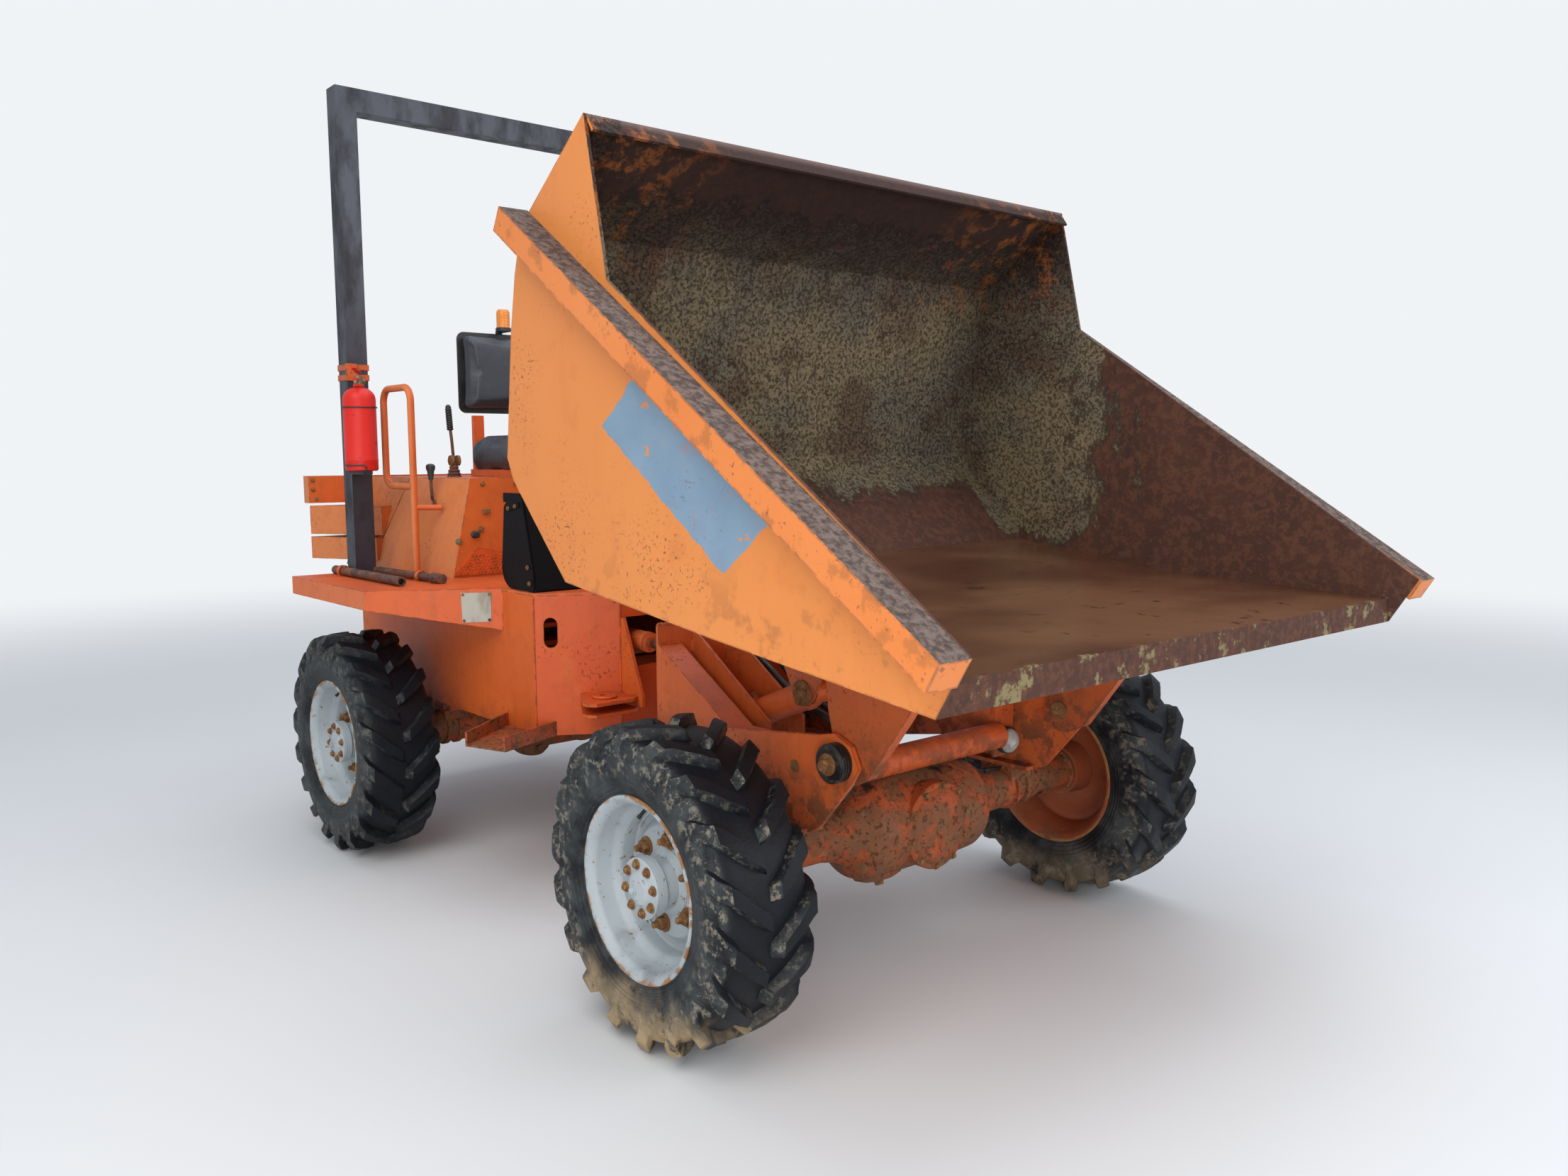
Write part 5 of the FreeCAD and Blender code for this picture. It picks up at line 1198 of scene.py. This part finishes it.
WHEEL_MIDDLE = at(-1400, 0, 1400)
COLUMN_FOOT = at(-1130, 0, 1135)
column_way = (WHEEL_MIDDLE - COLUMN_FOOT).normalized()
hub_at = WHEEL_MIDDLE + column_way * 0.020
wu, wv, wd = basis(column_way)
if wu.z < 0:
    wu = -wu
grip = []
for k in range(97):
    a = 2.0 * math.pi * k / 96.0
    grip.append(hub_at + (wu * math.cos(a) + wv * math.sin(a)) * 0.190)
grip_radii = [0.0128 - (0.0012 if k % 4 == 0 else 0.0) for k in range(97)]
wheel_parts = [sweep(grip, grip_radii, 16)]
for degrees in (30.0, 150.0, 270.0):
    a = math.radians(degrees)
    way = wu * math.sin(a) + wv * math.cos(a)
    across = wd.cross(way).normalized()
    spoke = []
    for reach, width in ((0.024, 0.020), (0.080, 0.014), (0.140, 0.011), (0.182, 0.014)):
        dip = -0.006 + 0.010 * math.sin(math.pi * min(reach / 0.19, 1.0))
        spoke.append((hub_at + way * reach - wd * dip, width))
    outline = [q + across * w for q, w in spoke] + [q - across * w for q, w in reversed(spoke)]
    wheel_parts.append(slab(outline, wd * 0.006))
wheel_parts.append(lathe([(-0.018, 0.0), (-0.018, 0.026), (-0.004, 0.033), (0.010, 0.034), (0.016, 0.030),
                          (0.018, 0.022), (0.0175, 0.0)], hub_at, wd, 40))
hand_wheel = piece("hand_wheel", *joined(wheel_parts), "rear_frame_body", BLACK_PLASTIC, "black_plastic", smooth=True)
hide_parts("steering_wheel")

# Levers: gear lever with boot on the hood's shoulder
lever = []
boot = [(0.0, 0.0), (0.0, 0.030), (0.006, 0.028), (0.010, 0.023), (0.016, 0.026), (0.022, 0.020), (0.028, 0.023),
        (0.034, 0.016), (0.042, 0.018), (0.048, 0.011), (0.060, 0.008), (0.060, 0.0)]
lever.append(lathe(boot, at(-2060, -312, 1286), (0, 0, 1), 32))
lever.append(sweep([at(-2060, -311, 1330), at(-2060, -317, 1425), at(-2060, -322, 1474)], 0.0058, 14))
lever_rod = piece("lever_rod", *joined(lever), "rear_frame_body", RUSTY_BAR, "rusty_steel", smooth=True)
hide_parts("hand_levers")
handle = [(0.0, 0.0), (0.0, 0.0095)]
for k in range(9):
    handle += [(0.003 + 0.009 * k, 0.0122), (0.008 + 0.009 * k, 0.0122), (0.0095 + 0.009 * k, 0.0098)]
handle += [(0.086, 0.011), (0.094, 0.0075), (0.097, 0.0)]
plates = [lathe([(-0.005, 0.0), (-0.005, 0.020), (0.005, 0.020), (0.005, 0.0)], at(-2060, -309 + d, 1352), (0, 1, 0), 28)
          for d in (-13.0, 13.0)]
piece("lever_grip", *lathe(handle, at(-2060, -322, 1466), (0, -0.06, 1), 20), "rear_frame_body", BLACK_PLASTIC,
      "black_plastic", smooth=True)
piece("lever_plates", *joined(plates), "rear_frame_body", BOLT_STEEL, "rusty_steel", smooth=True)
bolts("lever_bolts", [(at(-2060, -327, 1352), (0, -1, 0), 0.008, 0.007)], "rear_frame_body")

# Dash: a black sheet on the face towards the skip, instrument cluster towards the driver
facing_front = slab([at(-1090.5, -508, 946), at(-1090.5, 508, 946), at(-1164.5, 508, 1246), at(-1164.5, -508, 1246)],
                    (0.0035, 0.0, 0.0009))
piece("dash_facing", *facing_front, "rear_frame_body", FLAP, "rubber", bevel=0.001)
cluster = []
for y, r in ((-150.0, 0.040), (-60.0, 0.028), (150.0, 0.034)):
    place = at(-1150, y, 1150)
    away = Vector((-0.9733, 0.0, -0.2294))
    cluster.append(lathe([(0.0, 0.0), (0.0, r), (0.012, r), (0.014, r * 0.9), (0.010, r * 0.86), (0.009, 0.0)],
                         place + away * 0.004, away, 40))
piece("dash_gauges", *joined(cluster), "rear_frame_body", BLACK_PLASTIC, "black_plastic", smooth=True)

flaps = []
for s in (-1.0, 1.0):
    # the rear lower corner is well rounded, the upper edge falls towards the driver
    outline = [(-1296.0, 1008.0)]
    for k in range(9):
        a = math.radians(180.0 + 90.0 * k / 8.0)
        outline.append((-1226.0 + 70.0 * math.cos(a), 1010.0 + 66.0 * math.sin(a)))
    outline += [(-1094.0, 944.0), (-1094.0, 1000.0), (-1158.0, 1240.0), (-1176.0, 1242.0), (-1252.0, 1224.0),
                (-1272.0, 1206.0)]
    face = [at(x, s * 513.5, z) for x, z in outline]
    flaps.append(slab(face, (0.0, s * 0.005, 0.0)))
flap = piece("side_flaps", *joined(flaps), "rear_frame_body", FLAP, "rubber", bevel=0.001)
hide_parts("rubber_flaps")
strip_parts, rows = [], []
for s in (-1.0, 1.0):
    strip = [at(-1166.0, s * 519.0, 1206.0), at(-1254.0, s * 519.0, 1190.0), at(-1256.0, s * 519.0, 1206.0),
             at(-1170.0, s * 519.0, 1224.0)]
    strip_parts.append(slab(strip, (0.0, s * 0.003, 0.0)))
    for x, z in ((-1190.0, 1209.0), (-1236.0, 1201.0), (-1120.0, 1020.0), (-1112.0, 970.0)):
        rows.append((at(x, s * 521.5, z), (0, s, 0), 0.005, 0.006))
piece("flap_strips", *joined(strip_parts), "rear_frame_body", FLAP, "rubber", bevel=0.0008)
bolts("flap_bolts", rows, "rear_frame_body")

# Seat box front: checker plate, key, knob, bolts, stub
CHECK = [(-407.0, 1045.0), (-312.0, 1027.0), (-315.0, 950.0), (-500.0, 950.0)]
plate = slab([at(-1694.0, y, z) for y, z in CHECK], (0.0045, 0.0, 0.0))
bars = []
for i in range(14):
    for j in range(8):
        y = -488.0 + i * 13.5 + (j % 2) * 6.7
        z = 958.0 + j * 11.5
        slope = (1045.0 - 950.0) / (407.0 - 500.0)
        if z > 1024.0 or (y < -407.0 and z > 950.0 + (y + 500.0) * (1 / -slope) * 0.0 + (y + 500.0) * 1.02 - 8.0):
            continue
        turn = 1.0 if (i + j) % 2 else -1.0
        a = at(-1689.3, y - 3.4, z - turn * 3.4)
        b = at(-1689.3, y + 3.4, z + turn * 3.4)
        bars.append(sweep([a, a.lerp(b, 0.5) + Vector((0.0005, 0, 0)), b], [0.0009, 0.0016, 0.0009], 6))
piece("checker_plate", *joined([plate] + bars), "rear_frame_body", ORANGE, "orange")
knob = [(0.0, 0.0), (0.0, 0.0135), (0.006, 0.0135), (0.008, 0.0105), (0.024, 0.0115), (0.027, 0.0095), (0.0275, 0.0)]
piece("choke_knob", *lathe(knob, at(-1694, -417, 1092), (1, 0, 0), 28), "rear_frame_body", BLACK_PLASTIC,
      "black_plastic", smooth=True)
key_parts = [lathe([(0.0, 0.0), (0.0, 0.0115), (0.005, 0.011), (0.006, 0.007), (0.006, 0.0)], at(-1694, -478, 1070),
                   (1, 0, 0), 24),
             slab([at(-1687, -480, 1064), at(-1687, -476, 1064), at(-1672, -476, 1060), at(-1672, -480, 1060)],
                  (0, 0, 0.015))]
piece("ignition", *joined(key_parts), "rear_frame_body", BRASS, "steel")
stub = [slab([at(-1694, -384, 1165), at(-1694, -358, 1165), at(-1694, -358, 1181), at(-1694, -384, 1181)], (0.012, 0, 0))]
piece("box_stub", *joined(stub), "rear_frame_body", BOLT_STEEL, "rusty_steel", bevel=0.002)
rows = [(at(-1694, -391, 1110), (1, 0, 0), 0.0075, 0.014)]
for y in (-380.0, -250.0, 250.0, 380.0):
    rows.append((at(-1694, y, 1270), (1, 0, 0), 0.006, 0.008))
bolts("box_bolts", rows, "rear_frame_body")

# Data plate, left bare, on the front of the right-hand fender
plate_at = [Vector(at(*q)) for q in ((-1352, -638, 930), (-1304, -555, 930), (-1306, -557, 834), (-1351, -636, 833))]
plate_out = (plate_at[1] - plate_at[0]).cross(plate_at[2] - plate_at[1]).normalized()
plate_out = plate_out if plate_out.x > 0 else -plate_out
piece("bare_plate", *slab([q + plate_out * 0.0005 for q in plate_at], plate_out * 0.0016), "rear_frame_body",
      PLATE, "steel", bevel=0.0006)
plate_middle = sum(plate_at, Vector()) / 4.0
bolts("plate_rivets", [(q.lerp(plate_middle, 0.13) + plate_out * 0.001, plate_out, 0.0032, 0.0042) for q in plate_at],
      "rear_frame_body")

# Gear lever on the hood's right-hand flank
lever = [lathe([(0.0, 0.0), (0.0, 0.016), (0.006, 0.015), (0.012, 0.009), (0.012, 0.0)], at(-1905, -458, 1196),
               (0, -1, 0.22), 24),
         sweep([at(-1905, -461, 1196), at(-1903, -474, 1214), at(-1900, -478, 1262), at(-1898, -479, 1296)], 0.0055, 12)]
piece("gear_rod", *joined(lever), "rear_frame_body", RUSTY_BAR, "rusty_steel", smooth=True)
grip = [(0.0, 0.0), (0.0, 0.0085), (0.030, 0.0125), (0.040, 0.0165), (0.050, 0.0165), (0.056, 0.011), (0.058, 0.0)]
piece("gear_grip", *lathe(grip, at(-1898, -479, 1284), (0, 0, 1), 24), "rear_frame_body", BLACK_PLASTIC,
      "black_plastic", smooth=True)

# Amber lamp on its bracket behind the backrest
lamp_at = at(-2128, -52, 1862)
lens = [(0.006, 0.0), (0.006, 0.026), (0.010, 0.027)]
for k in range(7):
    lens += [(0.012 + 0.008 * k, 0.0265), (0.016 + 0.008 * k, 0.0252)]
lens += [(0.070, 0.0255), (0.078, 0.020), (0.081, 0.0)]
piece("amber_lamp", *lathe(lens, lamp_at, (0, 0, 1), 40), "rear_frame_body", AMBER, "clear_lens", smooth=True)
base = lathe([(-0.006, 0.0), (-0.006, 0.030), (0.006, 0.030), (0.008, 0.027), (0.008, 0.0)], lamp_at, (0, 0, 1), 40)
stem = slab([at(-2165, -66, 1700), at(-2165, -38, 1700), at(-2165, -38, 1858), at(-2165, -66, 1858)], (-0.004, 0, 0))
foot = block(at(-2169, -66, 1853), at(-2106, -38, 1857))
piece("amber_base", *joined([base, stem, foot]), "rear_frame_body", BLACK_PLASTIC, "black_plastic")

# Rear light bar: lamps at both ends, screws
lamps, shells, rows, tails = [], [], [], []
for s in (-1.0, 1.0):
    for y, z in ((648.0, 1243.0), (565.0, 1243.0)):
        body = lathe([(0.0, 0.0), (0.0, 0.036), (0.010, 0.036), (0.012, 0.034)], at(-2554, s * y, z), (-1, 0, 0), 40)
        shells.append(body)
        dome = [(0.010, 0.034)] + [(0.010 + 0.016 * math.sin(math.radians(12.0 * k)),
                                    0.034 * math.cos(math.radians(12.0 * k))) for k in range(1, 8)] + [(0.026, 0.0)]
        (lamps if y < 600.0 else tails).append(lathe(dome, at(-2554, s * y, z), (-1, 0, 0), 40))
for y, z in ((-692.0, 1278.0), (-692.0, 1242.0), (-680.0, 1206.0)):
    rows.append((at(-2500, y, z), (1, 0, 0), 0.0055, 0.006))
    rows.append((at(-2500, -y, z), (1, 0, 0), 0.0055, 0.006))
piece("rear_lamp_shells", *joined(shells), "hood", BLACK_PLASTIC, "black_plastic", smooth=True)
piece("rear_lamps", *joined(tails), "hood", tank_red(), "red", smooth=True)
piece("rear_signals", *joined(lamps), "hood", AMBER, "clear_lens", smooth=True)
bolts("light_bar_screws", rows, "hood")
# Hood: rusty loop latch
loop = bent([at(-2188, -455, 1268), at(-2188, -478, 1270), at(-2160, -478, 1270), at(-2160, -454, 1268)], 0.009, 6)
piece("hood_loop", *sweep(loop, 0.0048, 12), "rear_frame_body", BOLT_STEEL, "rusty_steel", smooth=True)


# Floor, light and camera

def stage_floor():
    mesh = bpy.data.meshes.new("studio_floor")
    r = 30.0
    mesh.from_pydata([(-r, -r, 0), (r, -r, 0), (r, r, 0), (-r, r, 0)], [], [(0, 1, 2, 3)])
    floor = bpy.data.objects.new("studio_floor", mesh)
    bpy.context.scene.collection.objects.link(floor)
    p = Paint("studio_floor")
    p.relief((p.noise(40.0), 0.0002),)
    radius = p.math("SQRT", p.math("ADD", p.both(p.place["x"], p.place["x"]), p.both(p.place["y"], p.place["y"])))
    path = p.tree.nodes.new("ShaderNodeLightPath")
    far = p.both(p.band(radius, 3.6, 11.0), path.outputs["Is Camera Ray"])
    p.finish(p.mix(p.noise(0.6), (0.60, 0.61, 0.62), (0.64, 0.65, 0.66)), 0.7)
    glow = p.tree.nodes.new("ShaderNodeEmission")
    glow.inputs["Color"].default_value = (0.874, 0.893, 0.922, 1.0)
    fade = p.tree.nodes.new("ShaderNodeMixShader")
    output = [n for n in p.tree.nodes if n.bl_idname == "ShaderNodeOutputMaterial"][0]
    p.put(fade.inputs[0], far)
    p.put(fade.inputs[1], p.shader.outputs[0])
    p.put(fade.inputs[2], glow.outputs[0])
    p.put(output.inputs[0], fade.outputs[0])
    mesh.materials.append(p.material)


def studio_world():
    world = bpy.data.worlds.new("studio")
    bpy.context.scene.world = world
    world.use_nodes = True
    tree = world.node_tree
    tree.nodes.clear()
    out = tree.nodes.new("ShaderNodeOutputWorld")
    mix = tree.nodes.new("ShaderNodeMixShader")
    path = tree.nodes.new("ShaderNodeLightPath")
    seen = tree.nodes.new("ShaderNodeMath")
    seen.operation = "MAXIMUM"
    ambient = tree.nodes.new("ShaderNodeBackground")
    ambient.inputs["Color"].default_value = (0.86, 0.92, 1.0, 1.0)
    ambient.inputs["Strength"].default_value = 0.62
    backdrop = tree.nodes.new("ShaderNodeBackground")
    backdrop.inputs["Color"].default_value = (0.92, 0.94, 0.97, 1.0)
    backdrop.inputs["Strength"].default_value = 0.95
    tree.links.new(path.outputs["Is Camera Ray"], seen.inputs[0])
    tree.links.new(path.outputs["Is Transmission Ray"], seen.inputs[1])
    tree.links.new(seen.outputs[0], mix.inputs[0])
    tree.links.new(ambient.outputs[0], mix.inputs[1])
    tree.links.new(backdrop.outputs[0], mix.inputs[2])
    tree.links.new(mix.outputs[0], out.inputs[0])


def area_light(name, place, target, size, power, colour=(1.0, 1.0, 1.0)):
    light = bpy.data.lights.new(name, "AREA")
    light.shape = "SQUARE"
    light.size = size
    light.energy = power
    light.color = colour
    obj = bpy.data.objects.new(name, light)
    obj.location = place
    obj.rotation_euler = (Vector(target) - Vector(place)).to_track_quat("-Z", "Y").to_euler()
    bpy.context.scene.collection.objects.link(obj)


CAMERA_AT = Vector((3.0225, -2.327, 1.361))
CAMERA_FORWARD = Vector((-0.7544, 0.6472, -0.1098))
CAMERA_ROLL = math.radians(0.3035)
CAMERA_LENS = 27.34


def photo_camera():
    forward = CAMERA_FORWARD.normalized()
    level = forward.cross(Vector((0, 0, 1))).normalized()
    down = forward.cross(level).normalized()
    right = level * math.cos(CAMERA_ROLL) + down * math.sin(CAMERA_ROLL)
    up = right.cross(forward).normalized()
    camera = bpy.data.objects.new("photo_camera", bpy.data.cameras.new("photo_camera"))
    camera.data.lens = CAMERA_LENS
    camera.data.sensor_width = 36.0
    camera.data.sensor_fit = "HORIZONTAL"
    axes = Matrix((right, up, -forward)).transposed().to_4x4()
    camera.matrix_world = Matrix.Translation(CAMERA_AT) @ axes
    bpy.context.scene.collection.objects.link(camera)
    bpy.context.scene.camera = camera


stage_floor()
studio_world()
area_light("sky_key", (2.5, -4.5, 5.5), (0.0, 0.0, 0.9), 5.0, 250.0, (1.0, 0.98, 0.95))
area_light("sky_top", (0.0, 1.0, 6.5), (0.0, 0.0, 1.0), 6.0, 215.0, (0.92, 0.96, 1.0))
area_light("sky_fill", (5.5, 2.5, 3.0), (0.3, 0.0, 1.0), 4.0, 150.0, (0.95, 0.97, 1.0))
area_light("low_front", (4.2, -3.4, 0.9), (0.2, -0.2, 0.6), 2.4, 95.0, (1.0, 0.97, 0.93))
photo_camera()
bpy.context.scene.view_settings.view_transform = "Standard"
